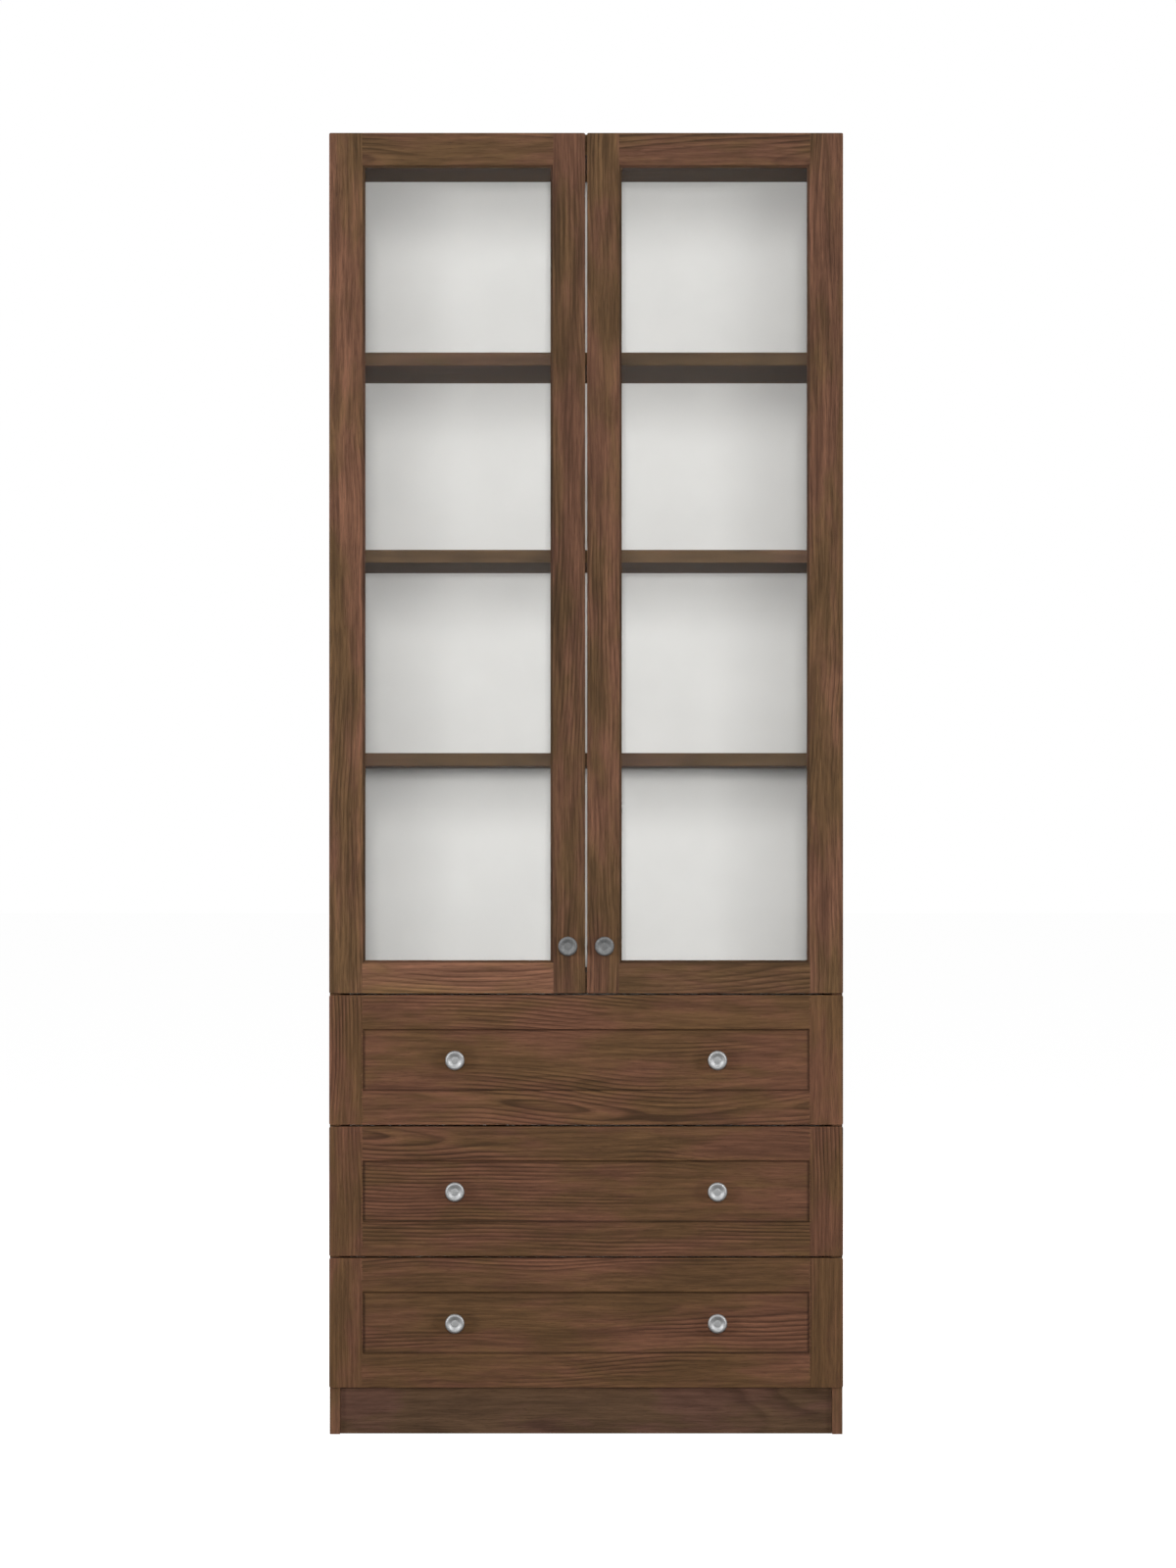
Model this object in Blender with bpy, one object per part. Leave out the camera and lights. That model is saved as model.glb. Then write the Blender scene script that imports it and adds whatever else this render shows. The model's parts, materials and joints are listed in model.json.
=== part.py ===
"""Glazed bookcase: two glass doors over three shelves, and three drawers below.

The front faces -Y, +Z is up, and the origin is under the middle of the whole object.
Left and right are as seen from the front. All sizes are in metres.
"""

import math

import bmesh
import bpy
from mathutils import Vector

MM = 0.001

# Overall size. The depth runs from the face of the doors to the rear edges of the sides.
WIDTH = 800 * MM
HEIGHT = 2028 * MM
DEPTH = 400 * MM

# Clearances
FIT_GAP = 0.3 * MM
END_CLEAR = 1 * MM
OVERRUN = 5 * MM

# Boards of the carcass
BOARD_T = 16 * MM
THICK_BOARD_T = 32 * MM
EDGE_EASE = 0.8 * MM
PLINTH_H = 75 * MM
PLINTH_SETBACK = 10 * MM
REAR_PLINTH_SETBACK = 20 * MM
BACK_T = 4 * MM
BACK_RECESS = 10 * MM
BACK_GROOVE = 7 * MM

# Shelves. Each share is the height of a shelf's upper face in the clear height behind the doors.
SHELF_T = 20 * MM
SHELF_SETBACK = 10 * MM
SHELF_SIDE_CLEAR = 0.5 * MM
SHELF_TOP_SHARES = (0.2686, 0.5174, 0.7592)
PIN_R = 2.5 * MM
PIN_L = 8 * MM
PIN_EMBED = 3 * MM
PIN_FROM_SHELF_END = 50 * MM
PIN_SIDES = 12

# Doors and drawer fronts
FRONT_T = 20 * MM
FRONT_CLEAR = 2 * MM
FRONT_GAP = 3 * MM
FRONT_EASE = 1 * MM
CORNER_R = 2.5 * MM
CORNER_STEPS = 3
DRAWER_COUNT = 3
DRAWER_FRONT_H = 201.5 * MM
HINGE_STILE_W = 55.7 * MM
LOCK_STILE_W = 54 * MM
TOP_RAIL_W = 53.8 * MM
BOTTOM_RAIL_W = 51.2 * MM
MOULD_W = 4.5 * MM
MOULD_D = 4.5 * MM
GLASS_T = 4 * MM
GLASS_SETBACK = 9 * MM
GROOVE_D = 9 * MM
DRAWER_FRAME_W = 51.5 * MM

# Concealed hinges. The axis lies inside the outer edge of the door.
AXIS_INSET = 4 * MM
AXIS_BEHIND_FACE = 4 * MM
CUP_R = 17.5 * MM
CUP_D = 11.5 * MM
CUP_LAND = 5 * MM
CUP_RIM = 1.5 * MM
CUP_SIDES = 24
WING_L = 56 * MM
WING_W = 16 * MM
WING_STEP = 0.2 * MM
HINGE_FROM_DOOR_END = 100 * MM
HINGE_Z_SHARE = 0.5
ARM_L = 62 * MM
ARM_W = 13 * MM
ARM_RISE = 12 * MM
ARM_FOOT = 2.5 * MM
ARM_TAIL = 7 * MM
ARM_BODY_L = 44 * MM
PLATE_FROM_EDGE = 37 * MM
PLATE_SPAN = 50 * MM
PLATE_L = 13 * MM
PLATE_T = 4 * MM

# Knobs and their fixing bolts
KNOB_R = 15 * MM
KNOB_L = 26 * MM
KNOB_BASE_R = 8 * MM
KNOB_BASE_T = 2 * MM
KNOB_NECK_R = 5.5 * MM
KNOB_NECK_END = 13 * MM
KNOB_RIM_START = 19 * MM
KNOB_RIM_T = 5.4 * MM
KNOB_CREST_W = 1.8 * MM
KNOB_DISH_R = 6.5 * MM
KNOB_DISH_D = 1.8 * MM
KNOB_SIDES = 24
KNOB_CURVE_STEPS = 4
BOLT_R = 2 * MM
BOLT_HEAD_R = 4 * MM
BOLT_HEAD_T = 2.2 * MM
DOOR_KNOB_UP = 73.5 * MM
DRAWER_KNOB_SPACING = 408 * MM

# Drawer boxes and runners
BOX_T = 14 * MM
BOX_H = 130 * MM
BOX_UP = 30 * MM
BOX_SIDE_CLEAR = 1.5 * MM
BOX_REAR_CLEAR = 15 * MM
BOTTOM_T = 4 * MM
BOTTOM_UP = 10 * MM
BOTTOM_TONGUE = 6 * MM
RUNNER_H = 17 * MM
RUNNER_T = 9 * MM
RUNNER_FROM_FRONT = 6 * MM
RUNNER_REAR_CLEAR = 32 * MM
RUN_CLEAR = 0.4 * MM

# Places that follow from the sizes
HALF_W = WIDTH / 2
KNOB_REACH = FIT_GAP + KNOB_L
FRONT_Y = (KNOB_REACH - DEPTH) / 2
REAR_Y = FRONT_Y + DEPTH
FRONT_BACK_Y = FRONT_Y + FRONT_T
CARCASS_Y = FRONT_BACK_Y + FRONT_CLEAR
BACK_Y = REAR_Y - BACK_RECESS - BACK_T
INNER_HALF_W = HALF_W - BOARD_T
BOARD_HALF_W = INNER_HALF_W - FIT_GAP
BOARD_REAR_Y = BACK_Y - FIT_GAP
DRAWER_PITCH = DRAWER_FRONT_H + FRONT_GAP
DOOR_LOW = PLINTH_H + DRAWER_COUNT * DRAWER_PITCH
DOOR_W = (WIDTH - FRONT_GAP) / 2
DECK_TOP = DOOR_LOW + THICK_BOARD_T
TOP_UNDER = HEIGHT - THICK_BOARD_T
SHELF_TOPS = [DECK_TOP + share * (TOP_UNDER - DECK_TOP) for share in SHELF_TOP_SHARES]
SHELF_FRONT_Y = CARCASS_Y + SHELF_SETBACK
SHELF_REAR_Y = BACK_Y - END_CLEAR
GLASS_GROOVE_W = GLASS_T + 2 * FIT_GAP
PANEL_T = FRONT_T - MOULD_D
CUP_INSET = CUP_LAND + CUP_R
FLANGE_T = FRONT_CLEAR - 2 * FIT_GAP
HINGE_ZS = (
    DOOR_LOW + HINGE_FROM_DOOR_END,
    SHELF_TOPS[0] + HINGE_Z_SHARE * (SHELF_TOPS[1] - SHELF_T - SHELF_TOPS[0]),
    HEIGHT - HINGE_FROM_DOOR_END,
)
BOX_HALF_W = INNER_HALF_W - BOX_SIDE_CLEAR
BOX_INNER_HALF_W = BOX_HALF_W - BOX_T
BOX_FRONT_Y = FRONT_BACK_Y + FIT_GAP
BOX_REAR_Y = BACK_Y - BOX_REAR_CLEAR
RUNNER_FRONT_Y = CARCASS_Y + RUNNER_FROM_FRONT
RUNNER_REAR_Y = BACK_Y - RUNNER_REAR_CLEAR
RUNNER_GROOVE_D = FIT_GAP + RUNNER_T + RUN_CLEAR - BOX_SIDE_CLEAR

LEFT = -1
RIGHT = 1
SIDES = {"left": LEFT, "right": RIGHT}
NEAR = 0.001 * MM
SHARP_ANGLE = math.radians(35)

# Colour, roughness and metallic value of each finish
FINISHES = {
    "walnut": ((0.136, 0.072, 0.042, 1), 0.5, 0),
    "dark_walnut": ((0.082, 0.045, 0.028, 1), 0.55, 0),
    "white": ((0.72, 0.71, 0.69, 1), 0.6, 0),
    "birch": ((0.55, 0.43, 0.3, 1), 0.5, 0),
    "glass": ((0.85, 0.9, 0.88, 0.3), 0.05, 0),
    "nickel": ((0.4, 0.4, 0.4, 1), 0.3, 1),
    "steel": ((0.5, 0.5, 0.5, 1), 0.25, 1),
    "runner_plastic": ((0.2, 0.17, 0.14, 1), 0.4, 0),
}

# How a drawing plane and its axis lie in space: u, v across, w along
PLANES = {
    "X": lambda u, v, w: (w, u, v),
    "Y": lambda u, v, w: (u, w, v),
    "Z": lambda u, v, w: (u, v, w),
}


def clear_scene():
    """Removes whatever the file holds at the start."""
    for obj in list(bpy.data.objects):
        bpy.data.objects.remove(obj)


def material(name, finish):
    """A material of the object's own, with the colour, roughness and metal of its finish."""
    colour, roughness, metallic = FINISHES[finish]
    made = bpy.data.materials.new(f"{name}_{finish}")
    made.use_nodes = True
    shader = made.node_tree.nodes["Principled BSDF"]
    shader.inputs["Base Color"].default_value = colour
    shader.inputs["Alpha"].default_value = colour[3]
    shader.inputs["Roughness"].default_value = roughness
    shader.inputs["Metallic"].default_value = metallic
    made.diffuse_color = colour
    return made


def prism(bm, axis, outline, start, end):
    """Adds an outline of (u, v) points carried along an axis from start to end."""
    place = PLANES[axis]
    low = [bm.verts.new(place(u, v, start)) for u, v in outline]
    high = [bm.verts.new(place(u, v, end)) for u, v in outline]
    bm.faces.new(low)
    bm.faces.new(high)
    for i in range(len(outline)):
        bm.faces.new((low[i - 1], low[i], high[i], high[i - 1]))


def block(bm, low, high):
    """Adds a box between two corners."""
    outline = [(low[0], low[1]), (high[0], low[1]), (high[0], high[1]), (low[0], high[1])]
    prism(bm, "Z", outline, low[2], high[2])


def turned(bm, axis, profile, centre, sides):
    """Adds a profile of (radius, height) points turned about an axis through a centre (u, v).

    The first and the last point lie on the axis.
    """
    place = PLANES[axis]
    turns = [2 * math.pi * i / sides for i in range(sides)]
    first = bm.verts.new(place(centre[0], centre[1], profile[0][1]))
    last = bm.verts.new(place(centre[0], centre[1], profile[-1][1]))
    rings = []
    for radius, height in profile[1:-1]:
        ring = []
        for turn in turns:
            u = centre[0] + radius * math.cos(turn)
            v = centre[1] + radius * math.sin(turn)
            ring.append(bm.verts.new(place(u, v, height)))
        rings.append(ring)
    for i in range(sides):
        bm.faces.new((first, rings[0][i - 1], rings[0][i]))
        bm.faces.new((last, rings[-1][i - 1], rings[-1][i]))
        for below, above in zip(rings, rings[1:]):
            bm.faces.new((below[i - 1], below[i], above[i], above[i - 1]))


def rod(bm, axis, centre, radius, start, end, sides):
    """Adds a plain round rod."""
    profile = [(0, start), (radius, start), (radius, end), (0, end)]
    turned(bm, axis, profile, centre, sides)


def lies_on(edge, axis, value):
    """Whether both ends of an edge lie on the plane where this coordinate has this value."""
    return all(abs(vert.co[axis] - value) < NEAR for vert in edge.verts)


def ease(bm, planes, width, steps=1):
    """Rounds each edge that lies on both planes of a pair. A pair with one plane takes all its edges."""
    bm.edges.ensure_lookup_table()
    chosen = [
        edge
        for edge in bm.edges
        if any(all(lies_on(edge, axis, value) for axis, value in pair) for pair in planes)
    ]
    bmesh.ops.bevel(
        bm, geom=chosen, offset=width, offset_type="OFFSET", segments=steps, profile=0.5,
        affect="EDGES",
    )


def make(name, bm, finish, origin, parent=None, smooth=False):
    """Turns a shape drawn at its place into an object whose origin is at the given point."""
    bmesh.ops.recalc_face_normals(bm, faces=bm.faces)
    bmesh.ops.translate(bm, vec=-Vector(origin), verts=bm.verts)
    mesh = bpy.data.meshes.new(name)
    bm.to_mesh(mesh)
    bm.free()
    if smooth:
        mesh.shade_smooth()
        mesh.set_sharp_from_angle(angle=SHARP_ANGLE)
    obj = bpy.data.objects.new(name, mesh)
    bpy.context.scene.collection.objects.link(obj)
    obj.parent = parent
    obj.location = Vector(origin) - (parent.location if parent else Vector())
    if finish:
        mesh.materials.append(material(name, finish))
    return obj


def combine(obj, tool_bm, operation, name):
    """Cuts a hidden tool from an object, or joins it on."""
    tool = make(name, tool_bm, None, (0, 0, 0))
    tool.hide_render = True
    tool.display_type = "WIRE"
    modifier = obj.modifiers.new(name, "BOOLEAN")
    modifier.operation = operation
    modifier.solver = "EXACT"
    modifier.object = tool


def axis_empty(name, location):
    """An empty on a joint's axis, which carries the pieces that move with it."""
    empty = bpy.data.objects.new(name, None)
    bpy.context.scene.collection.objects.link(empty)
    empty.location = location
    return empty


def board(name, low, high, finish, eased_planes=(), width=EDGE_EASE):
    """A flat board between two corners, with the edges on the given planes eased."""
    bm = bmesh.new()
    block(bm, low, high)
    if eased_planes:
        ease(bm, eased_planes, width)
    return make(name, bm, finish, low)


def across(side, inset):
    """The x of a point that lies this far in from the outer face of a side."""
    return side * (HALF_W - inset)


def side_panel(name, side):
    """A side of the carcass, grooved for the back, with the pins that carry the shelves."""
    groove_front = BACK_Y - FIT_GAP
    groove_rear = BACK_Y + BACK_T + FIT_GAP
    groove_floor = BOARD_T - BACK_GROOVE
    outline = [
        (0, CARCASS_Y),
        (BOARD_T, CARCASS_Y),
        (BOARD_T, groove_front),
        (groove_floor, groove_front),
        (groove_floor, groove_rear),
        (BOARD_T, groove_rear),
        (BOARD_T, REAR_Y),
        (0, REAR_Y),
    ]
    bm = bmesh.new()
    prism(bm, "Z", [(across(side, u), y) for u, y in outline], 0, HEIGHT)
    ease(bm, [[(1, CARCASS_Y)]], EDGE_EASE)
    obj = make(name, bm, "walnut", (across(side, 0), CARCASS_Y, 0))
    pins = bmesh.new()
    start = across(side, BOARD_T - PIN_EMBED)
    end = across(side, BOARD_T + PIN_L)
    for shelf_top in SHELF_TOPS:
        z = shelf_top - SHELF_T - FIT_GAP - PIN_R
        for y in (SHELF_FRONT_Y + PIN_FROM_SHELF_END, SHELF_REAR_Y - PIN_FROM_SHELF_END):
            rod(pins, "X", (y, z), PIN_R, start, end, PIN_SIDES)
    combine(obj, pins, "UNION", f"{name}_pins")


def carcass_boards():
    """The boards between the sides, the plinth and the two back panels."""
    front_edges = [[(1, CARCASS_Y)]]
    levels = {
        "bottom_board": (PLINTH_H, PLINTH_H + BOARD_T),
        "deck_board": (DOOR_LOW, DECK_TOP),
        "top_board": (TOP_UNDER, HEIGHT),
    }
    for name, (low, high) in levels.items():
        board(
            name, (-BOARD_HALF_W, CARCASS_Y, low), (BOARD_HALF_W, BOARD_REAR_Y, high),
            "walnut", front_edges,
        )
    plinth_y = CARCASS_Y + PLINTH_SETBACK
    rear_plinth_y = BOARD_REAR_Y - REAR_PLINTH_SETBACK - BOARD_T
    for name, y in {"plinth_front": plinth_y, "plinth_rear": rear_plinth_y}.items():
        board(
            name, (-BOARD_HALF_W, y, 0), (BOARD_HALF_W, y + BOARD_T, PLINTH_H - FIT_GAP),
            "dark_walnut",
        )
    back_half_w = INNER_HALF_W + BACK_GROOVE - SHELF_SIDE_CLEAR
    seam = (DOOR_LOW + DECK_TOP) / 2
    backs = {
        "back_panel_lower": (PLINTH_H, seam - FIT_GAP),
        "back_panel_upper": (seam, HEIGHT),
    }
    for name, (low, high) in backs.items():
        board(name, (-back_half_w, BACK_Y, low), (back_half_w, BACK_Y + BACK_T, high), "white")


def shelves():
    """Three loose shelves on their pins."""
    half_w = INNER_HALF_W - SHELF_SIDE_CLEAR
    for number, top in enumerate(SHELF_TOPS, start=1):
        board(
            f"shelf_{number}", (-half_w, SHELF_FRONT_Y, top - SHELF_T), (half_w, SHELF_REAR_Y, top),
            "walnut", [[(1, SHELF_FRONT_Y)]],
        )


def frame_profile(width):
    """Section of a door frame member: (distance in from its outer edge, depth behind the face)."""
    return [
        (0, 0),
        (width - MOULD_W, 0),
        (width, MOULD_D),
        (width, GLASS_SETBACK),
        (width - GROOVE_D, GLASS_SETBACK),
        (width - GROOVE_D, GLASS_SETBACK + GLASS_GROOVE_W),
        (width, GLASS_SETBACK + GLASS_GROOVE_W),
        (width, FRONT_T),
        (0, FRONT_T),
    ]


def cope_profile(width):
    """Section of the tool that copes a rail over a stile, one gap larger than the stile."""
    edge = width + FIT_GAP
    tongue_front = GLASS_SETBACK + FIT_GAP
    tongue_rear = GLASS_SETBACK + GLASS_GROOVE_W - FIT_GAP
    groove_floor = width - GROOVE_D + FIT_GAP
    return [
        (-OVERRUN, -OVERRUN),
        (edge - MOULD_W, -OVERRUN),
        (edge - MOULD_W, 0),
        (edge, MOULD_D),
        (edge, tongue_front),
        (groove_floor, tongue_front),
        (groove_floor, tongue_rear),
        (edge, tongue_rear),
        (edge, FRONT_T + OVERRUN),
        (-OVERRUN, FRONT_T + OVERRUN),
    ]


def stile_x(side, is_hinge_stile, inset):
    """The x of a point this far in from the outer edge of a stile."""
    return across(side, inset if is_hinge_stile else DOOR_W - inset)


def stile(name, side, is_hinge_stile, parent):
    """An upright of a door frame, running the full height of the door."""
    width = HINGE_STILE_W if is_hinge_stile else LOCK_STILE_W
    outline = [
        (stile_x(side, is_hinge_stile, inset), FRONT_Y + depth)
        for inset, depth in frame_profile(width)
    ]
    bm = bmesh.new()
    prism(bm, "Z", outline, DOOR_LOW, HEIGHT)
    outer_x = stile_x(side, is_hinge_stile, 0)
    corners = [[(0, outer_x), (2, DOOR_LOW)], [(0, outer_x), (2, HEIGHT)]]
    ease(bm, corners, CORNER_R, CORNER_STEPS)
    face = [
        [(1, FRONT_Y), (0, outer_x)],
        [(1, FRONT_Y), (2, DOOR_LOW)],
        [(1, FRONT_Y), (2, HEIGHT)],
    ]
    ease(bm, face, FRONT_EASE)
    return make(name, bm, "walnut", (outer_x, FRONT_Y, DOOR_LOW), parent)


def rail(name, side, width, edge_z, inwards, parent):
    """A cross member of a door frame, coped over both stiles with a stub tongue in their grooves."""
    outline = [
        (FRONT_Y + depth, edge_z + inwards * inset) for inset, depth in frame_profile(width)
    ]
    start = across(side, HINGE_STILE_W - GROOVE_D + END_CLEAR)
    end = across(side, DOOR_W - LOCK_STILE_W + GROOVE_D - END_CLEAR)
    bm = bmesh.new()
    prism(bm, "X", outline, start, end)
    ease(bm, [[(1, FRONT_Y), (2, edge_z)]], FRONT_EASE)
    obj = make(name, bm, "walnut", (start, FRONT_Y, edge_z), parent)
    for is_hinge_stile, stile_w in ((True, HINGE_STILE_W), (False, LOCK_STILE_W)):
        tool = bmesh.new()
        section = [
            (stile_x(side, is_hinge_stile, inset), FRONT_Y + depth)
            for inset, depth in cope_profile(stile_w)
        ]
        prism(tool, "Z", section, DOOR_LOW - OVERRUN, HEIGHT + OVERRUN)
        combine(obj, tool, "DIFFERENCE", f"{name}_cope_{'hinge' if is_hinge_stile else 'lock'}")


def glass(name, side, parent):
    """The pane, held in the groove round the frame."""
    held = GROOVE_D - END_CLEAR
    low_z = DOOR_LOW + BOTTOM_RAIL_W - held
    high_z = HEIGHT - TOP_RAIL_W + held
    front = FRONT_Y + GLASS_SETBACK + FIT_GAP
    xs = sorted((across(side, HINGE_STILE_W - held), across(side, DOOR_W - LOCK_STILE_W + held)))
    bm = bmesh.new()
    block(bm, (xs[0], front, low_z), (xs[1], front + GLASS_T, high_z))
    make(name, bm, "glass", (xs[0], front, low_z), parent)


def arc(centre, radii, start, end, steps):
    """Points on a quarter of an ellipse in the plane of a turned profile."""
    points = []
    for i in range(steps + 1):
        turn = start + (end - start) * i / steps
        points.append(
            (centre[0] + radii[0] * math.cos(turn), centre[1] + radii[1] * math.sin(turn))
        )
    return points


def knob_profile(through):
    """Half section of a knob with its fixing bolt: (radius, height above the face it stands on)."""
    bolt_end = -through - FIT_GAP
    flare = arc(
        (KNOB_NECK_R, KNOB_RIM_START), (KNOB_R - KNOB_NECK_R, KNOB_NECK_END - KNOB_RIM_START),
        math.pi / 2, 0, KNOB_CURVE_STEPS,
    )
    rim_top = KNOB_RIM_START + KNOB_RIM_T
    dish = KNOB_L - KNOB_DISH_D
    return [
        (0, bolt_end - BOLT_HEAD_T),
        (BOLT_HEAD_R, bolt_end - BOLT_HEAD_T),
        (BOLT_HEAD_R, bolt_end),
        (BOLT_R, bolt_end),
        (BOLT_R, 0),
        (KNOB_BASE_R, 0),
        (KNOB_BASE_R, KNOB_BASE_T),
        (KNOB_NECK_R, KNOB_BASE_T + KNOB_BASE_T),
        *flare,
        (KNOB_R, rim_top),
        (KNOB_R - KNOB_CREST_W, KNOB_L),
        (KNOB_DISH_R, dish),
        (0, dish),
    ]


def knob(name, x, z, face_y, through, parent):
    """A round knob standing on a face, with its bolt through the wood behind it."""
    bm = bmesh.new()
    foot = face_y - FIT_GAP
    profile = [(radius, foot - height) for radius, height in knob_profile(through + FIT_GAP)]
    turned(bm, "Y", profile, (x, z), KNOB_SIDES)
    make(name, bm, "nickel", (x, face_y, z), parent, smooth=True)


def bolt_holes(obj, places, name):
    """Cuts the holes for knob bolts through a front."""
    tool = bmesh.new()
    for x, z in places:
        rod(
            tool, "Y", (x, z), BOLT_R + FIT_GAP, FRONT_Y - OVERRUN, FRONT_BACK_Y + OVERRUN, PIN_SIDES,
        )
    combine(obj, tool, "DIFFERENCE", name)


def hinge_cup(name, side, z, parent):
    """The part of a concealed hinge that sits in the door: a cup with a rim and two screw wings."""
    x = across(side, CUP_INSET)
    bm = bmesh.new()
    seat = FRONT_BACK_Y + FIT_GAP
    profile = [
        (0, FRONT_BACK_Y - CUP_D),
        (CUP_R, FRONT_BACK_Y - CUP_D),
        (CUP_R, seat),
        (CUP_R + CUP_RIM, seat),
        (CUP_R + CUP_RIM, seat + FLANGE_T),
        (0, seat + FLANGE_T),
    ]
    turned(bm, "Y", profile, (x, z), CUP_SIDES)
    obj = make(name, bm, "steel", (x, FRONT_BACK_Y, z), parent, smooth=True)
    wings = bmesh.new()
    low = (x - WING_W / 2, seat + WING_STEP, z - WING_L / 2)
    high = (x + WING_W / 2, seat + FLANGE_T - WING_STEP, z + WING_L / 2)
    block(wings, low, high)
    combine(obj, wings, "UNION", f"{name}_wings")


def hinge_arm(name, side, z):
    """The part of a concealed hinge that is screwed to the side: an arm on a mounting plate."""
    plate_front = CARCASS_Y + PLATE_FROM_EDGE - PLATE_L / 2
    outline = [
        (ARM_FOOT, CARCASS_Y),
        (ARM_RISE, CARCASS_Y),
        (ARM_RISE, CARCASS_Y + ARM_BODY_L),
        (ARM_TAIL, CARCASS_Y + ARM_L),
        (FIT_GAP, CARCASS_Y + ARM_L),
        (FIT_GAP, plate_front),
        (ARM_FOOT, plate_front),
    ]
    bm = bmesh.new()
    section = [(across(side, BOARD_T + rise), y) for rise, y in outline]
    prism(bm, "Z", section, z - ARM_W / 2, z + ARM_W / 2)
    obj = make(name, bm, "steel", (across(side, BOARD_T), CARCASS_Y, z))
    xs = sorted((across(side, BOARD_T + FIT_GAP), across(side, BOARD_T + FIT_GAP + PLATE_T)))
    plate = bmesh.new()
    block(
        plate, (xs[0], plate_front + NEAR, z - PLATE_SPAN / 2),
        (xs[1], plate_front + PLATE_L, z + PLATE_SPAN / 2),
    )
    combine(obj, plate, "UNION", f"{name}_plate")


def door(side_name, side):
    """A glazed door with its knob and the moving halves of its hinges."""
    axis = axis_empty(
        f"door_{side_name}_axis",
        (across(side, AXIS_INSET), FRONT_Y + AXIS_BEHIND_FACE, DOOR_LOW),
    )
    prefix = f"door_{side_name}"
    hinge_stile = stile(f"{prefix}_hinge_stile", side, True, axis)
    bores = bmesh.new()
    for z in HINGE_ZS:
        rod(
            bores, "Y", (across(side, CUP_INSET), z), CUP_R + FIT_GAP,
            FRONT_BACK_Y - CUP_D - FIT_GAP, FRONT_BACK_Y + OVERRUN, CUP_SIDES,
        )
    combine(hinge_stile, bores, "DIFFERENCE", f"{prefix}_cup_bores")
    lock_stile = stile(f"{prefix}_lock_stile", side, False, axis)
    knob_x = across(side, DOOR_W - LOCK_STILE_W / 2)
    knob_z = DOOR_LOW + DOOR_KNOB_UP
    bolt_holes(lock_stile, [(knob_x, knob_z)], f"{prefix}_bolt_hole")
    rail(f"{prefix}_top_rail", side, TOP_RAIL_W, HEIGHT, -1, axis)
    rail(f"{prefix}_bottom_rail", side, BOTTOM_RAIL_W, DOOR_LOW, 1, axis)
    glass(f"{prefix}_glass", side, axis)
    knob(f"{prefix}_knob", knob_x, knob_z, FRONT_Y, FRONT_T, axis)
    for number, z in enumerate(HINGE_ZS, start=1):
        hinge_cup(f"hinge_cup_{side_name}_{number}", side, z, axis)
        hinge_arm(f"hinge_arm_{side_name}_{number}", side, z)


def bottom_slot():
    """Corners, without heights, of the groove that holds a drawer bottom."""
    reach = BOX_INNER_HALF_W + BOTTOM_TONGUE
    return (-reach, FRONT_BACK_Y - BOTTOM_TONGUE), (reach, BOX_REAR_Y - BOX_T + BOTTOM_TONGUE)


def slot_tool(bottom_z):
    """The tool that cuts the groove for a drawer bottom into the box and the front."""
    low, high = bottom_slot()
    bm = bmesh.new()
    block(
        bm, (low[0], low[1], bottom_z - FIT_GAP),
        (high[0], high[1], bottom_z + BOTTOM_T + FIT_GAP),
    )
    return bm


def drawer_front(name, low_z, knob_places, bottom_z, parent):
    """A front milled from one board, with a sunk panel inside a sloped moulding."""
    high_z = low_z + DRAWER_FRONT_H
    bm = bmesh.new()
    block(bm, (-HALF_W, FRONT_Y, low_z), (HALF_W, FRONT_BACK_Y, high_z))
    bmesh.ops.recalc_face_normals(bm, faces=bm.faces)
    face = [f for f in bm.faces if all(abs(v.co.y - FRONT_Y) < NEAR for v in f.verts)]
    bmesh.ops.inset_region(bm, faces=face, thickness=DRAWER_FRAME_W)
    bmesh.ops.inset_region(bm, faces=face, thickness=MOULD_W, depth=-MOULD_D)
    corners = [[(0, x), (2, z)] for x in (-HALF_W, HALF_W) for z in (low_z, high_z)]
    ease(bm, corners, CORNER_R, CORNER_STEPS)
    rim = [[(1, FRONT_Y), (0, x)] for x in (-HALF_W, HALF_W)]
    rim += [[(1, FRONT_Y), (2, z)] for z in (low_z, high_z)]
    ease(bm, rim, FRONT_EASE)
    obj = make(name, bm, "walnut", (0, FRONT_Y, low_z), parent)
    bolt_holes(obj, knob_places, f"{name}_bolt_holes")
    combine(obj, slot_tool(bottom_z), "DIFFERENCE", f"{name}_bottom_slot")


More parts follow.
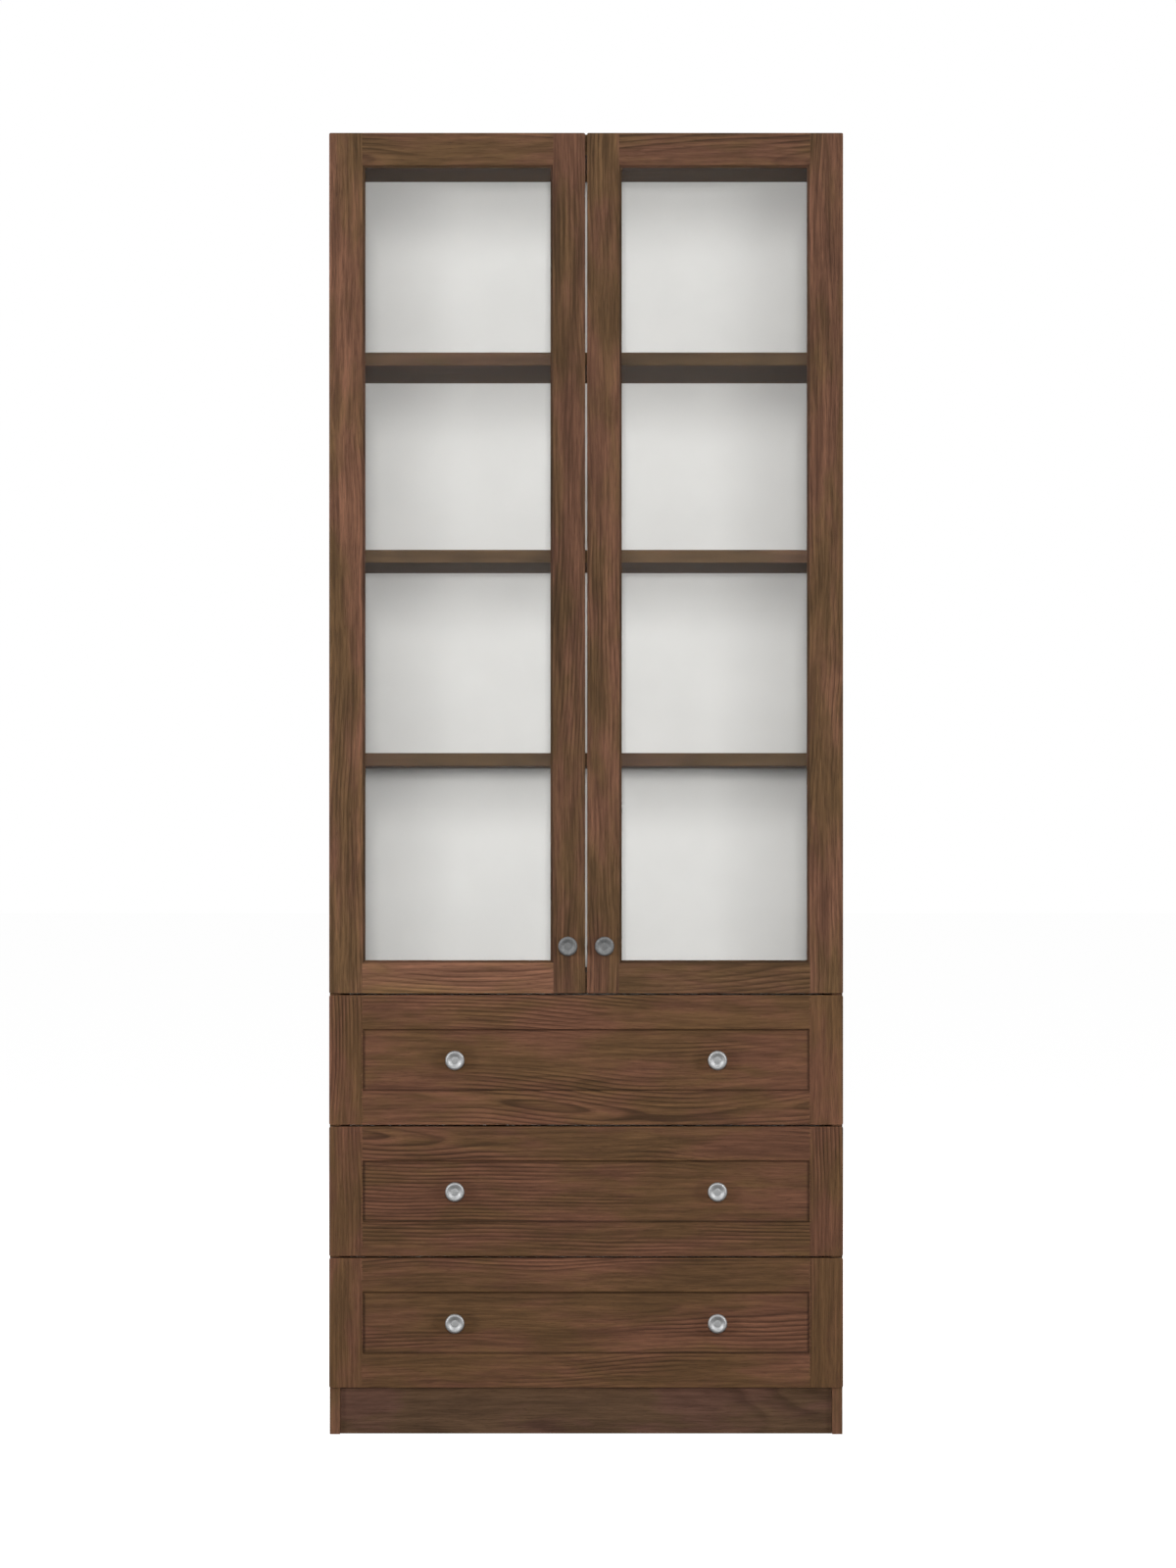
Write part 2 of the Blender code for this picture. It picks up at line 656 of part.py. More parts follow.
def drawer_box(name, box_z, bottom_z, runner_z, parent):
    """Two sides and the back of a drawer, folded from one board, open at the front and on top."""
    outline = [
        (-BOX_HALF_W, BOX_FRONT_Y),
        (-BOX_HALF_W, BOX_REAR_Y),
        (BOX_HALF_W, BOX_REAR_Y),
        (BOX_HALF_W, BOX_FRONT_Y),
        (BOX_INNER_HALF_W, BOX_FRONT_Y),
        (BOX_INNER_HALF_W, BOX_REAR_Y - BOX_T),
        (-BOX_INNER_HALF_W, BOX_REAR_Y - BOX_T),
        (-BOX_INNER_HALF_W, BOX_FRONT_Y),
    ]
    bm = bmesh.new()
    prism(bm, "Z", outline, box_z, box_z + BOX_H)
    obj = make(name, bm, "birch", (0, BOX_FRONT_Y, box_z), parent)
    grooves = bmesh.new()
    half_h = RUNNER_H / 2 + RUN_CLEAR
    for side in SIDES.values():
        xs = sorted((side * (BOX_HALF_W - RUNNER_GROOVE_D), side * (BOX_HALF_W + OVERRUN)))
        block(
            grooves, (xs[0], RUNNER_FRONT_Y - FIT_GAP, runner_z - half_h),
            (xs[1], BOX_REAR_Y + OVERRUN, runner_z + half_h),
        )
    combine(obj, grooves, "DIFFERENCE", f"{name}_runner_grooves")
    combine(obj, slot_tool(bottom_z), "DIFFERENCE", f"{name}_bottom_slot")


def runner(name, side, z):
    """A strip on the carcass side that a drawer's groove slides on."""
    xs = sorted((across(side, BOARD_T + FIT_GAP), across(side, BOARD_T + FIT_GAP + RUNNER_T)))
    low = (xs[0], RUNNER_FRONT_Y, z - RUNNER_H / 2)
    high = (xs[1], RUNNER_REAR_Y, z + RUNNER_H / 2)
    inner_x = across(side, BOARD_T + FIT_GAP + RUNNER_T)
    board(name, low, high, "runner_plastic", [[(0, inner_x)]])


def drawer(number, low_z):
    """A drawer with its knobs, and the two runners on the carcass that carry it."""
    name = f"drawer_{number}"
    axis = axis_empty(f"{name}_slide", (0, FRONT_Y, low_z))
    box_z = low_z + BOX_UP
    bottom_z = box_z + BOTTOM_UP
    runner_z = box_z + BOX_H / 2
    knob_z = low_z + DRAWER_FRONT_H / 2
    knobs = {
        side_name: (side * DRAWER_KNOB_SPACING / 2, knob_z) for side_name, side in SIDES.items()
    }
    drawer_front(f"{name}_front", low_z, list(knobs.values()), bottom_z, axis)
    drawer_box(f"{name}_box", box_z, bottom_z, runner_z, axis)
    low, high = bottom_slot()
    bottom = board(
        f"{name}_bottom", (low[0] + END_CLEAR, low[1] + END_CLEAR, bottom_z),
        (high[0] - END_CLEAR, high[1] - END_CLEAR, bottom_z + BOTTOM_T), "birch",
    )
    bottom.location -= axis.location
    bottom.parent = axis
    for side_name, (x, z) in knobs.items():
        knob(f"{name}_knob_{side_name}", x, z, FRONT_Y + MOULD_D, PANEL_T, axis)
        runner(f"{name}_runner_{side_name}", SIDES[side_name], runner_z)


def main():
    """Builds the bookcase from the carcass outwards."""
    clear_scene()
    for side_name, side in SIDES.items():
        side_panel(f"side_panel_{side_name}", side)
    carcass_boards()
    shelves()
    for side_name, side in SIDES.items():
        door(side_name, side)
    for number in range(1, DRAWER_COUNT + 1):
        drawer(number, PLINTH_H + (DRAWER_COUNT - number) * DRAWER_PITCH)


main()
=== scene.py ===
"""Looks of a glazed bookcase: two framed glass doors over three shelves, and three drawers below.

Each sub-assembly is a class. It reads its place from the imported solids, works out finer surfaces as numpy
grids, and dresses them in node-based finishes. The front faces -Y, +Z is up, and lengths are in metres.
"""

import json
import logging
import math
from collections.abc import Iterable, Sequence
from dataclasses import dataclass, field
from enum import Enum

import bmesh
import bpy
import numpy as np
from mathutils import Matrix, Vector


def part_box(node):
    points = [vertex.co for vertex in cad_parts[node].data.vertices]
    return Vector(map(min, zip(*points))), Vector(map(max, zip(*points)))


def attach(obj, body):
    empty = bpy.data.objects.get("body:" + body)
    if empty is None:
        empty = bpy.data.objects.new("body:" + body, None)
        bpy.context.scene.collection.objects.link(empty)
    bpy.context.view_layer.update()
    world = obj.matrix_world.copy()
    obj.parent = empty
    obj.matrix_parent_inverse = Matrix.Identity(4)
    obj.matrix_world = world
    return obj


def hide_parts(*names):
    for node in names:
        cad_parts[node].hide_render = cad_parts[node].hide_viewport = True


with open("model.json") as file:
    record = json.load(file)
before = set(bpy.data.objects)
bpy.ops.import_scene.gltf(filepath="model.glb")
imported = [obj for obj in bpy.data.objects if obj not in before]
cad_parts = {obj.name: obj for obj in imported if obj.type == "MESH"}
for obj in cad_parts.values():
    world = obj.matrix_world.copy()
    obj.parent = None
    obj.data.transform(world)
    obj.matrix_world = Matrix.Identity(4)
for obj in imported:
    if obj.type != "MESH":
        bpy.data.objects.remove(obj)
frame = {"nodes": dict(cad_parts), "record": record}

log = logging.getLogger("bookcase")

MM = 0.001
WELD = 0.001 * MM
SHARP_ANGLE = math.radians(32)
LARGE_FACES_LEAD = 100
FIT_GAP = 0.3 * MM
WORN_RADIUS = 0.5 * MM
ROUND_STEPS = 4
TINY_LENGTH, TINY_SINE = 1e-9, 1e-6
NOISE_LOW, NOISE_HIGH = 0.3, 0.7

Socket = bpy.types.NodeSocket
Value = float | Sequence[float] | Socket
Colour = tuple[float, float, float]
Range = tuple[float, float]
Point = tuple[float, float]
Looks = dict[str, float | Colour]


def others(axis: int) -> list[int]:
    """The two coordinates across an axis."""
    return [i for i in range(3) if i != axis]


class Run(Enum):
    """Which way the grain of a board runs, as the index of that coordinate."""

    ACROSS = 0
    DEEP = 1
    UPRIGHT = 2


class Side(Enum):
    """A side of the object as seen from the front, as the sign of its x."""

    LEFT = -1
    RIGHT = 1

    @property
    def word(self) -> str:
        """The side's name as the nodes use it."""
        return self.name.lower()


# Finishes


class Blend(Enum):
    """What a Mix node blends: its data type, the numbers of its two inputs, and the number of its output."""

    COLOUR = ("RGBA", 6, 7, 2)
    VECTOR = ("VECTOR", 4, 5, 1)


class Sketch:
    """The node tree of one material, with short calls for the nodes that the finishes use."""

    def __init__(self, name: str) -> None:
        """Starts a material with a Principled shader.

        Args:
            name: the material's name.
        """
        self.material = bpy.data.materials.new(name)
        self.material.use_nodes = True
        self.tree = self.material.node_tree
        self.shader = self.tree.nodes["Principled BSDF"]
        self.output = self.tree.nodes["Material Output"]

    def plug(self, socket: Socket, value: Value) -> None:
        """Links a socket to another, or sets its value.

        Args:
            socket: the input to feed.
            value: an output socket, a number or a vector.
        """
        if isinstance(value, bpy.types.NodeSocket):
            self.tree.links.new(value, socket)
        else:
            socket.default_value = value

    def node(
        self, kind: str, inputs: dict[str | int, Value] | None = None, **settings: object,
    ) -> bpy.types.Node:
        """Adds a node.

        Args:
            kind: the node's type without its ShaderNode prefix.
            inputs: values or links for its inputs, by name or number.
            settings: the node's own properties.

        Returns:
            The new node.
        """
        made = self.tree.nodes.new(f"ShaderNode{kind}")
        for name, value in settings.items():
            setattr(made, name, value)
        for name, value in (inputs or {}).items():
            self.plug(made.inputs[name], value)
        return made

    def sum(self, operation: str, a: Value, b: Value = 0.0, clamp: bool = False) -> Socket:
        """One step of arithmetic on numbers, held between 0 and 1 where it is clamped."""
        return self.node("Math", {0: a, 1: b}, operation=operation, use_clamp=clamp).outputs[0]

    def product(self, *factors: Value) -> Socket:
        """Multiplies numbers one after another.

        Args:
            factors: two numbers or more.

        Returns:
            The product's socket.
        """
        result = factors[0]
        for factor in factors[1:]:
            result = self.sum("MULTIPLY", result, factor)
        return result

    def vector(self, operation: str, a: Value, b: Value) -> Socket:
        """One step of arithmetic on vectors, whose result is a vector."""
        return self.node("VectorMath", {0: a, 1: b}, operation=operation).outputs[0]

    def scaled(self, colour: Value, factor: Value) -> Socket:
        """A colour or vector times a number."""
        return self.node("VectorMath", {0: colour, "Scale": factor}, operation="SCALE").outputs[0]

    def noise(self, place: Socket, scale: float, detail: float = 2.0, roughness: float = 0.5) -> Socket:
        """A noise texture read at a place, from 0 to 1."""
        inputs = {"Vector": place, "Scale": scale, "Detail": detail, "Roughness": roughness}
        return self.node("TexNoise", inputs).outputs["Fac"]

    def sway(self, place: Socket, detail: float, roughness: float = 0.5) -> Socket:
        """Three noises about zero, as a vector.

        Args:
            place: the vector that they are read at.
            detail: how many finer layers they add.
            roughness: how strong the finer layers are.

        Returns:
            The vector.
        """
        inputs = {"Vector": place, "Scale": 1.0, "Detail": detail, "Roughness": roughness}
        colour = self.node("TexNoise", inputs).outputs["Color"]
        return self.vector("SUBTRACT", colour, (0.5, 0.5, 0.5))

    def stretch(
        self, value: Socket, to_low: float, to_high: float, low: float = NOISE_LOW, high: float = NOISE_HIGH,
    ) -> Socket:
        """Carries one range smoothly to another, and holds its ends outside."""
        inputs = {"Value": value, "From Min": low, "From Max": high, "To Min": to_low, "To Max": to_high}
        return self.node("MapRange", inputs, interpolation_type="SMOOTHSTEP").outputs[0]

    def mixed(self, factor: Value, a: Value, b: Value, blend: Blend = Blend.COLOUR) -> Socket:
        """A colour or a vector between two, from the first at 0 to the second at 1."""
        kind, first, second, result = blend.value
        return self.node("Mix", {0: factor, first: a, second: b}, data_type=kind).outputs[result]

    def place(self) -> Socket:
        """The point on the object, in metres in the object's own frame."""
        return self.node("TexCoord").outputs["Object"]

    def relief(self, height: Socket, depth: float, strength: float) -> None:
        """Raises the surface by a height, of which 1 stands up by the depth in metres."""
        bump = self.node("Bump", {"Height": height, "Distance": depth, "Strength": strength})
        self.plug(self.shader.inputs["Normal"], bump.outputs[0])

    def set(self, **values: Value) -> bpy.types.Material:
        """Sets inputs of the Principled shader.

        Args:
            values: what each input gets, by its name with _ for a space.

        Returns:
            The material.
        """
        for name, value in values.items():
            self.plug(self.shader.inputs[name.replace("_", " ")], value)
        return self.material


def around(middle: float, spread: Range) -> Range:
    """A range about a middle: its ends are the middle plus each part of the spread."""
    return middle + spread[0], middle + spread[1]


@dataclass(frozen=True)
class Layer:
    """A layer of noise along the grain, and the share of the light that it gives or takes."""

    scale: float
    detail: float
    roughness: float
    share: float

    def read(self, sketch: Sketch, place: Socket) -> Socket:
        """The layer's noise at a place."""
        return sketch.noise(place, self.scale, self.detail, self.roughness)


CLOUDS = Layer(scale=1.0, detail=3.0, roughness=0.6, share=0.08)
PATCHES = Layer(scale=4.6, detail=2.0, roughness=0.55, share=0.12)
STREAKS = Layer(scale=15.0, detail=3.0, roughness=0.6, share=0.16)
FIBRES = Layer(scale=48.0, detail=2.0, roughness=0.6, share=0.09)
PORES = Layer(scale=90.0, detail=1.0, roughness=0.5, share=0.28)
PORE_RANGE = (0.60, 0.72)

RING_SHARE = 0.5
EARLY_RISE, EARLY_FALL, EARLY_DEPTH = (0.0, 0.1), (0.15, 0.5), 0.45
LATE_RISE, LATE_FALL = (0.48, 0.84), (0.88, 0.99)
COVER_RANGE, COVER_LEAST = (0.42, 0.6), 0.1
REDNESS_RANGE = (0.38, 0.62)
# How much the wear mark changes the wood's light: worn edges lighter, and the moulding's cove darker as
# painted shade.
WEAR_AND_SHADE_SHARE = 0.3
END_FINGER_SCALES, END_FINGER_L = (50, 50, 600), 12 * MM


@dataclass(frozen=True)
class Woodgrain:
    """A wood-effect finish: growth rings about a wandering pith line, with streaks and pores along the grain.

    A ring is the fraction of (distance from the pith line / ring width). The pith line wanders into the board
    and sideways as slow noise of the place along the grain, which draws long arches where it comes near the
    face. Wide clouds shift the colour between olive and red. Everything else is noise whose period along the
    grain is many times its period across. Each pair of scales is (along, across), in periods to the metre.
    """

    name: str
    run: Run
    pith: Point = (0.0, 0.1)
    seed: float = 0.0
    tone: float = 1.0
    warmth: float = 0.5
    figure: float = 0.5
    contrast: float = 1.0
    ends: float = 0.0
    olive: Colour = (0.0851, 0.0466, 0.0212)
    red: Colour = (0.0926, 0.0434, 0.0258)
    roughness: float = 0.56
    rough_spread: Range = (0.07, -0.05)
    gloss: float = 0.12
    ring_w: float = 6 * MM
    wander: float = 70 * MM
    bend: float = 24 * MM
    relief: float = 0.12 * MM
    unevenness: float = 0.55
    grain_scales: Range = (0.7, 15.0)
    bend_scales: Range = (2.6, 8.0)
    cloud_scales: Range = (5.0, 17.0)
    wander_scales: Range = (1.9, 0.0)
    uneven_scales: Range = (7.0, 45.0)
    cover_scales: Range = (2.6, 16.0)

    def material(self) -> bpy.types.Material:
        """Builds the finish as a material.

        Returns:
            The material.
        """
        sketch = Sketch(self.name)
        place = sketch.place()
        if self.ends:
            place = self._turned_ends(sketch, place)
        drift = sketch.sway(self._along(sketch, place, self.bend_scales), detail=2.0)
        bent = sketch.vector("ADD", place, sketch.scaled(drift, self.bend))
        grain = self._along(sketch, bent, self.grain_scales)

        rings = self._rings(sketch, bent)
        clouds = CLOUDS.read(sketch, self._along(sketch, bent, self.cloud_scales))
        patches, streaks, fibres = (layer.read(sketch, grain) for layer in (PATCHES, STREAKS, FIBRES))
        pores = sketch.stretch(PORES.read(sketch, grain), 0.0, 1.0, *PORE_RANGE)

        redness = sketch.stretch(clouds, self.warmth - 0.5, self.warmth + 0.5, *REDNESS_RANGE)
        redness = sketch.sum("MAXIMUM", redness, 0.0, clamp=True)
        colour = sketch.mixed(redness, (*self.olive, 1), (*self.red, 1))
        # The wear attribute: above zero, worn edges come out lighter; below zero, the moulding's cove is
        # darkened as painted shade.
        wear = sketch.node("Attribute", attribute_name="wear").outputs["Fac"]
        light = sketch.product(
            self._spread(sketch, streaks, STREAKS.share), self._spread(sketch, patches, PATCHES.share),
            self._spread(sketch, clouds, CLOUDS.share), self._spread(sketch, fibres, FIBRES.share),
            self._less(sketch, rings, RING_SHARE), self._less(sketch, pores, PORES.share),
            sketch.sum("ADD", 1.0, sketch.product(wear, WEAR_AND_SHADE_SHARE)), self.tone,
        )

        height = sketch.sum("SUBTRACT", sketch.sum("ADD", streaks, fibres), sketch.sum("ADD", pores, rings))
        sketch.relief(height, self.relief, strength=0.5)
        rough = sketch.stretch(streaks, *around(self.roughness, self.rough_spread))
        return sketch.set(
            Base_Color=sketch.scaled(colour, light), Roughness=rough, Specular_IOR_Level=self.gloss,
        )

    def _spread(self, sketch: Sketch, noise: Socket, share: float) -> Socket:
        """The light that a noise gives: from 1 - share x contrast to 1 + share x contrast."""
        spread = share * self.contrast
        return sketch.stretch(noise, 1 - spread, 1 + spread)

    def _less(self, sketch: Sketch, mark: Socket, share: float) -> Socket:
        """The light that a dark mark leaves: 1 - share x mark."""
        return sketch.sum("SUBTRACT", 1.0, sketch.product(mark, share))

    def _along(self, sketch: Sketch, place: Socket, scales: Range) -> Socket:
        """The place with one scale along the grain and another across it, moved by the seed.

        Args:
            sketch: the material's node tree.
            place: the point.
            scales: the scale along the grain, and the one across it.

        Returns:
            The new place.
        """
        along, across = scales
        scale = [across] * 3
        scale[self.run.value] = along
        shift = (self.seed, self.seed * 1.7, self.seed * 2.3)
        return sketch.node("Mapping", {"Vector": place, "Scale": scale, "Location": shift}).outputs[0]

    def _rings(self, sketch: Sketch, place: Socket) -> Socket:
        """Growth rings, shown where a slow noise lets them.

        Args:
            sketch: the material's node tree.
            place: the point.

        Returns:
            1 in the dark late wood, below 0 in the pale early wood.
        """
        centre, mask = [0.0] * 3, [1.0] * 3
        mask[self.run.value] = 0.0
        for axis, at in zip(others(self.run.value), self.pith):
            centre[axis] = at
        sway = sketch.sway(self._along(sketch, place, self.wander_scales), detail=1.0, roughness=0.4)
        offset = sketch.vector("SUBTRACT", place, centre)
        offset = sketch.vector("ADD", offset, sketch.scaled(sway, self.wander))
        offset = sketch.vector("MULTIPLY", offset, mask)
        distance = sketch.node("VectorMath", {0: offset}, operation="LENGTH").outputs["Value"]
        uneven = sketch.noise(self._along(sketch, place, self.uneven_scales), scale=1.0, detail=1.0)
        count = sketch.sum("DIVIDE", distance, self.ring_w)
        saw = sketch.sum("FRACT", sketch.sum("ADD", count, sketch.product(uneven, self.unevenness)))
        late = sketch.product(
            sketch.stretch(saw, 0.0, 1.0, *LATE_RISE), sketch.stretch(saw, 1.0, 0.0, *LATE_FALL),
        )
        early = sketch.product(
            sketch.stretch(saw, 0.0, EARLY_DEPTH, *EARLY_RISE), sketch.stretch(saw, 1.0, 0.0, *EARLY_FALL),
        )
        cover = sketch.noise(self._along(sketch, place, self.cover_scales), scale=1.0, detail=1.0)
        shown = sketch.stretch(cover, COVER_LEAST, 1.0, *COVER_RANGE)
        return sketch.product(sketch.sum("SUBTRACT", late, early), shown, self.figure)

    def _turned_ends(self, sketch: Sketch, place: Socket) -> Socket:
        """Swaps x and z beyond the ends' distance from the middle, so that the grain stands upright there.

        The line between the two runs in and out a little, as fine noise of the height.

        Args:
            sketch: the material's node tree.
            place: the point.

        Returns:
            The point, with x and z swapped at the ends.
        """
        x, y, z = sketch.node("SeparateXYZ", {0: place}).outputs
        fingers = sketch.node("Mapping", {"Vector": place, "Scale": END_FINGER_SCALES}).outputs[0]
        ragged = sketch.sum("SUBTRACT", sketch.noise(fingers, scale=1.0), 0.5)
        reach = sketch.sum("ADD", sketch.sum("ABSOLUTE", x), sketch.product(ragged, END_FINGER_L))
        beyond = sketch.sum("GREATER_THAN", reach, self.ends)
        turned = sketch.node("CombineXYZ", {0: z, 1: y, 2: x}).outputs[0]
        return sketch.mixed(beyond, place, turned, Blend.VECTOR)


@dataclass(frozen=True)
class WhiteLacquer:
    """Thin white lacquer on hardboard: faint clouds, and a fine orange peel in the gloss."""

    name: str = "white_lacquer"
    colour: Colour = (0.772, 0.77, 0.752)
    cloud_scale: float = 9.0
    cloud_light: Range = (0.975, 1.015)
    peel_scale: float = 420.0
    peel_light: Range = (0.99, 1.01)
    peel_depth: float = 0.05 * MM
    roughness: Range = (0.46, 0.56)
    gloss: float = 0.35

    def material(self) -> bpy.types.Material:
        """Builds the finish as a material.

        Returns:
            The material.
        """
        sketch = Sketch(self.name)
        place = sketch.place()
        clouds = sketch.noise(place, self.cloud_scale, detail=3.0, roughness=0.6)
        peel = sketch.noise(place, self.peel_scale)
        light = sketch.product(
            sketch.stretch(clouds, *self.cloud_light), sketch.stretch(peel, *self.peel_light),
        )
        sketch.relief(peel, self.peel_depth, strength=0.35)
        rough = sketch.stretch(clouds, *self.roughness)
        return sketch.set(
            Base_Color=sketch.scaled(self.colour, light), Roughness=rough, Specular_IOR_Level=self.gloss,
        )


@dataclass(frozen=True)
class RawBoard:
    """Pressed wood with no finish: chips or fibres of several browns, without gloss."""

    name: str
    light: Colour
    dark: Colour
    grain: float
    relief: float = 0.15 * MM
    chip_share: float = 0.6
    dust_share: float = 0.4
    dust_fineness: float = 3
    roughness: Range = (0.78, 0.92)

    def material(self) -> bpy.types.Material:
        """Builds the finish as a material.

        Returns:
            The material.
        """
        sketch = Sketch(self.name)
        place = sketch.place()
        chips = sketch.node("TexVoronoi", {"Vector": place, "Scale": self.grain, "Randomness": 1.0})
        share = sketch.node("SeparateColor", {0: chips.outputs["Color"]}).outputs[0]
        dust = sketch.noise(place, self.grain * self.dust_fineness, detail=3.0, roughness=0.6)
        mix = sketch.sum(
            "ADD", sketch.product(share, self.chip_share), sketch.product(dust, self.dust_share), clamp=True,
        )
        colour = sketch.mixed(mix, (*self.dark, 1), (*self.light, 1))
        sketch.relief(mix, self.relief, strength=0.6)
        return sketch.set(Base_Color=colour, Roughness=sketch.stretch(dust, *self.roughness))


@dataclass(frozen=True)
class ClearGlass:
    """A clear pane: light goes straight through, and a faint gloss grows towards a grazing view."""

    name: str = "clear_glass_pane"
    tint: Colour = (0.996, 0.997, 0.996)
    mirror_ior: float = 1.2
    smear_scale: float = 14.0
    smear_range: Range = (0.35, 0.7)
    roughness: Range = (0.015, 0.05)

    def material(self) -> bpy.types.Material:
        """Builds the finish as a material.

        Returns:
            The material.
        """
        sketch = Sketch(self.name)
        sketch.tree.nodes.remove(sketch.shader)
        smear = sketch.noise(sketch.place(), self.smear_scale, detail=3.0, roughness=0.6)
        clear = sketch.node("BsdfTransparent", {"Color": (*self.tint, 1)})
        rough = sketch.stretch(smear, *self.roughness, *self.smear_range)
        gloss = sketch.node("BsdfGlossy", {"Color": (1, 1, 1, 1), "Roughness": rough})
        share = sketch.node("Fresnel", {"IOR": self.mirror_ior}).outputs[0]
        both = sketch.node("MixShader", {0: share, 1: clear.outputs[0], 2: gloss.outputs[0]})
        sketch.plug(sketch.output.inputs["Surface"], both.outputs[0])
        return sketch.material


@dataclass(frozen=True)
class Metal:
    """Plated metal: its brightness and gloss vary in clouds and in a fine grain."""

    name: str
    colour: Colour
    roughness: float
    mottle: float
    mottle_scale: float
    mottle_range: Range = (0.32, 0.68)
    rough_spread: Range = (0.08, -0.06)
    grit_fineness: float = 5
    grit_share: float = 0.1
    relief: float = 0.03 * MM

    def material(self) -> bpy.types.Material:
        """Builds the finish as a material.

        Returns:
            The material.
        """
        sketch = Sketch(self.name)
        place = sketch.place()
        clouds = sketch.noise(place, self.mottle_scale, detail=3.0, roughness=0.6)
        grit = sketch.noise(place, self.mottle_scale * self.grit_fineness, detail=1.0)
        light = sketch.stretch(clouds, 1 - self.mottle, 1 + self.mottle, *self.mottle_range)
        rough = sketch.sum(
            "ADD", sketch.stretch(clouds, *around(self.roughness, self.rough_spread)),
            sketch.product(sketch.sum("SUBTRACT", grit, 0.5), self.grit_share),
        )
        sketch.relief(sketch.sum("ADD", clouds, grit), self.relief, strength=0.35)
        return sketch.set(Base_Color=sketch.scaled(self.colour, light), Metallic=1.0, Roughness=rough)


@dataclass(frozen=True)
class Plastic:
    """Moulded plastic with the fine spark grain of its tool."""

    name: str
    colour: Colour
    roughness: float = 0.42
    rough_spread: Range = (-0.05, 0.08)
    grain_scale: float = 1500.0
    flow_scale: float = 25.0
    flow_light: Range = (0.92, 1.06)
    relief: float = 0.04 * MM

    def material(self) -> bpy.types.Material:
        """Builds the finish as a material.

        Returns:
            The material.
        """
        sketch = Sketch(self.name)
        place = sketch.place()
        grain = sketch.noise(place, self.grain_scale, roughness=0.6)
        light = sketch.stretch(sketch.noise(place, self.flow_scale), *self.flow_light)
        sketch.relief(grain, self.relief, strength=0.4)
        rough = sketch.stretch(grain, *around(self.roughness, self.rough_spread))
        return sketch.set(Base_Color=sketch.scaled(self.colour, light), Roughness=rough)


Finish = Woodgrain | WhiteLacquer | RawBoard | ClearGlass | Metal | Plastic

_made: dict[Finish, bpy.types.Material] = {}


def dressed(finish: Finish) -> bpy.types.Material:
    """The material of a finish, built once.

    Args:
        finish: the finish.

    Returns:
        Its material.
    """
    if finish not in _made:
        _made[finish] = finish.material()
    return _made[finish]


NICKEL = Metal("satin_nickel", (0.352, 0.356, 0.359), 0.5, 0.06, 520.0)
# A darker, rougher copy of the same nickel for the door knobs: painted shade, so that they look as they do in
# shade.
SHADED_NICKEL = Metal("satin_nickel_worn", (0.176, 0.178, 0.178), 0.62, 0.09, 520.0)
HINGE_STEEL = Metal("hinge_steel", (0.56, 0.55, 0.53), 0.33, 0.03, 220.0)
SCREW_STEEL = Metal("screw_steel", (0.48, 0.47, 0.45), 0.30, 0.08, 300.0)
RUNNER_PLASTIC = Plastic("runner_plastic_brown", (0.17, 0.135, 0.1))
CHIPBOARD = RawBoard("bare_chipboard", (0.5, 0.37, 0.23), (0.28, 0.18, 0.1), 700.0)
HARDBOARD = RawBoard("bare_hardboard", (0.28, 0.17, 0.09), (0.2, 0.115, 0.06), 1500.0)
WHITE = WhiteLacquer()
GLASS = ClearGlass()

DRAWER_SHADE: Looks = {
    "olive": (0.0851, 0.0442, 0.0194), "red": (0.0926, 0.0412, 0.0236), "contrast": 1.25, "figure": 0.95,
}
BOARD_SHADE: Looks = {
    "olive": (0.0882, 0.0422, 0.013), "red": (0.0962, 0.0392, 0.016), "warmth": 0.15, "figure": 0.45,
    "roughness": 0.72, "gloss": 0.08,
}
# The plinth's walnut is made darker: painted shade for the shadow under the drawers above it.
PLINTH_PAINTED_SHADE: Looks = {
    **BOARD_SHADE, "olive": (0.065, 0.0373, 0.0212), "red": (0.071, 0.0348, 0.026), "warmth": 0.2,
}
# The front edges of boards and shelves are darker and greyer: partly an edge band's tone, partly painted
# shade for the shade behind the door frames.
EDGE_SHADE: Looks = {
    "olive": (0.0696, 0.0411, 0.0203), "red": (0.0757, 0.0383, 0.0246), "warmth": 0.15, "figure": 0.3,
}
STILE_SHADE: Looks = {"figure": 0.6, "contrast": 1.7}
RAIL_SHADE: Looks = {"figure": 0.8, "contrast": 1.25}
SIDE_SHADE: Looks = {"figure": 0.55}
BIRCH_PITH = (0.3, 0.3)
BIRCH_SHADE: Looks = {
    "figure": 0.12, "olive": (0.56, 0.42, 0.27), "red": (0.61, 0.45, 0.30), "roughness": 0.45, "gloss": 0.3,
}


def walnut(name: str, run: Run, pith: Point, seed: float, **looks: float | Colour) -> Woodgrain:
    """A walnut finish for one board, with its own pith line and stretch of the pattern."""
    return Woodgrain(f"walnut_{name}", run, pith, seed, **looks)


def birch(name: str, run: Run, seed: float) -> Woodgrain:
    """A pale birch finish for a board of a drawer box, with its own stretch of the pattern."""
    return Woodgrain(f"birch_{name}", run, BIRCH_PITH, seed, **BIRCH_SHADE)


# Surfaces


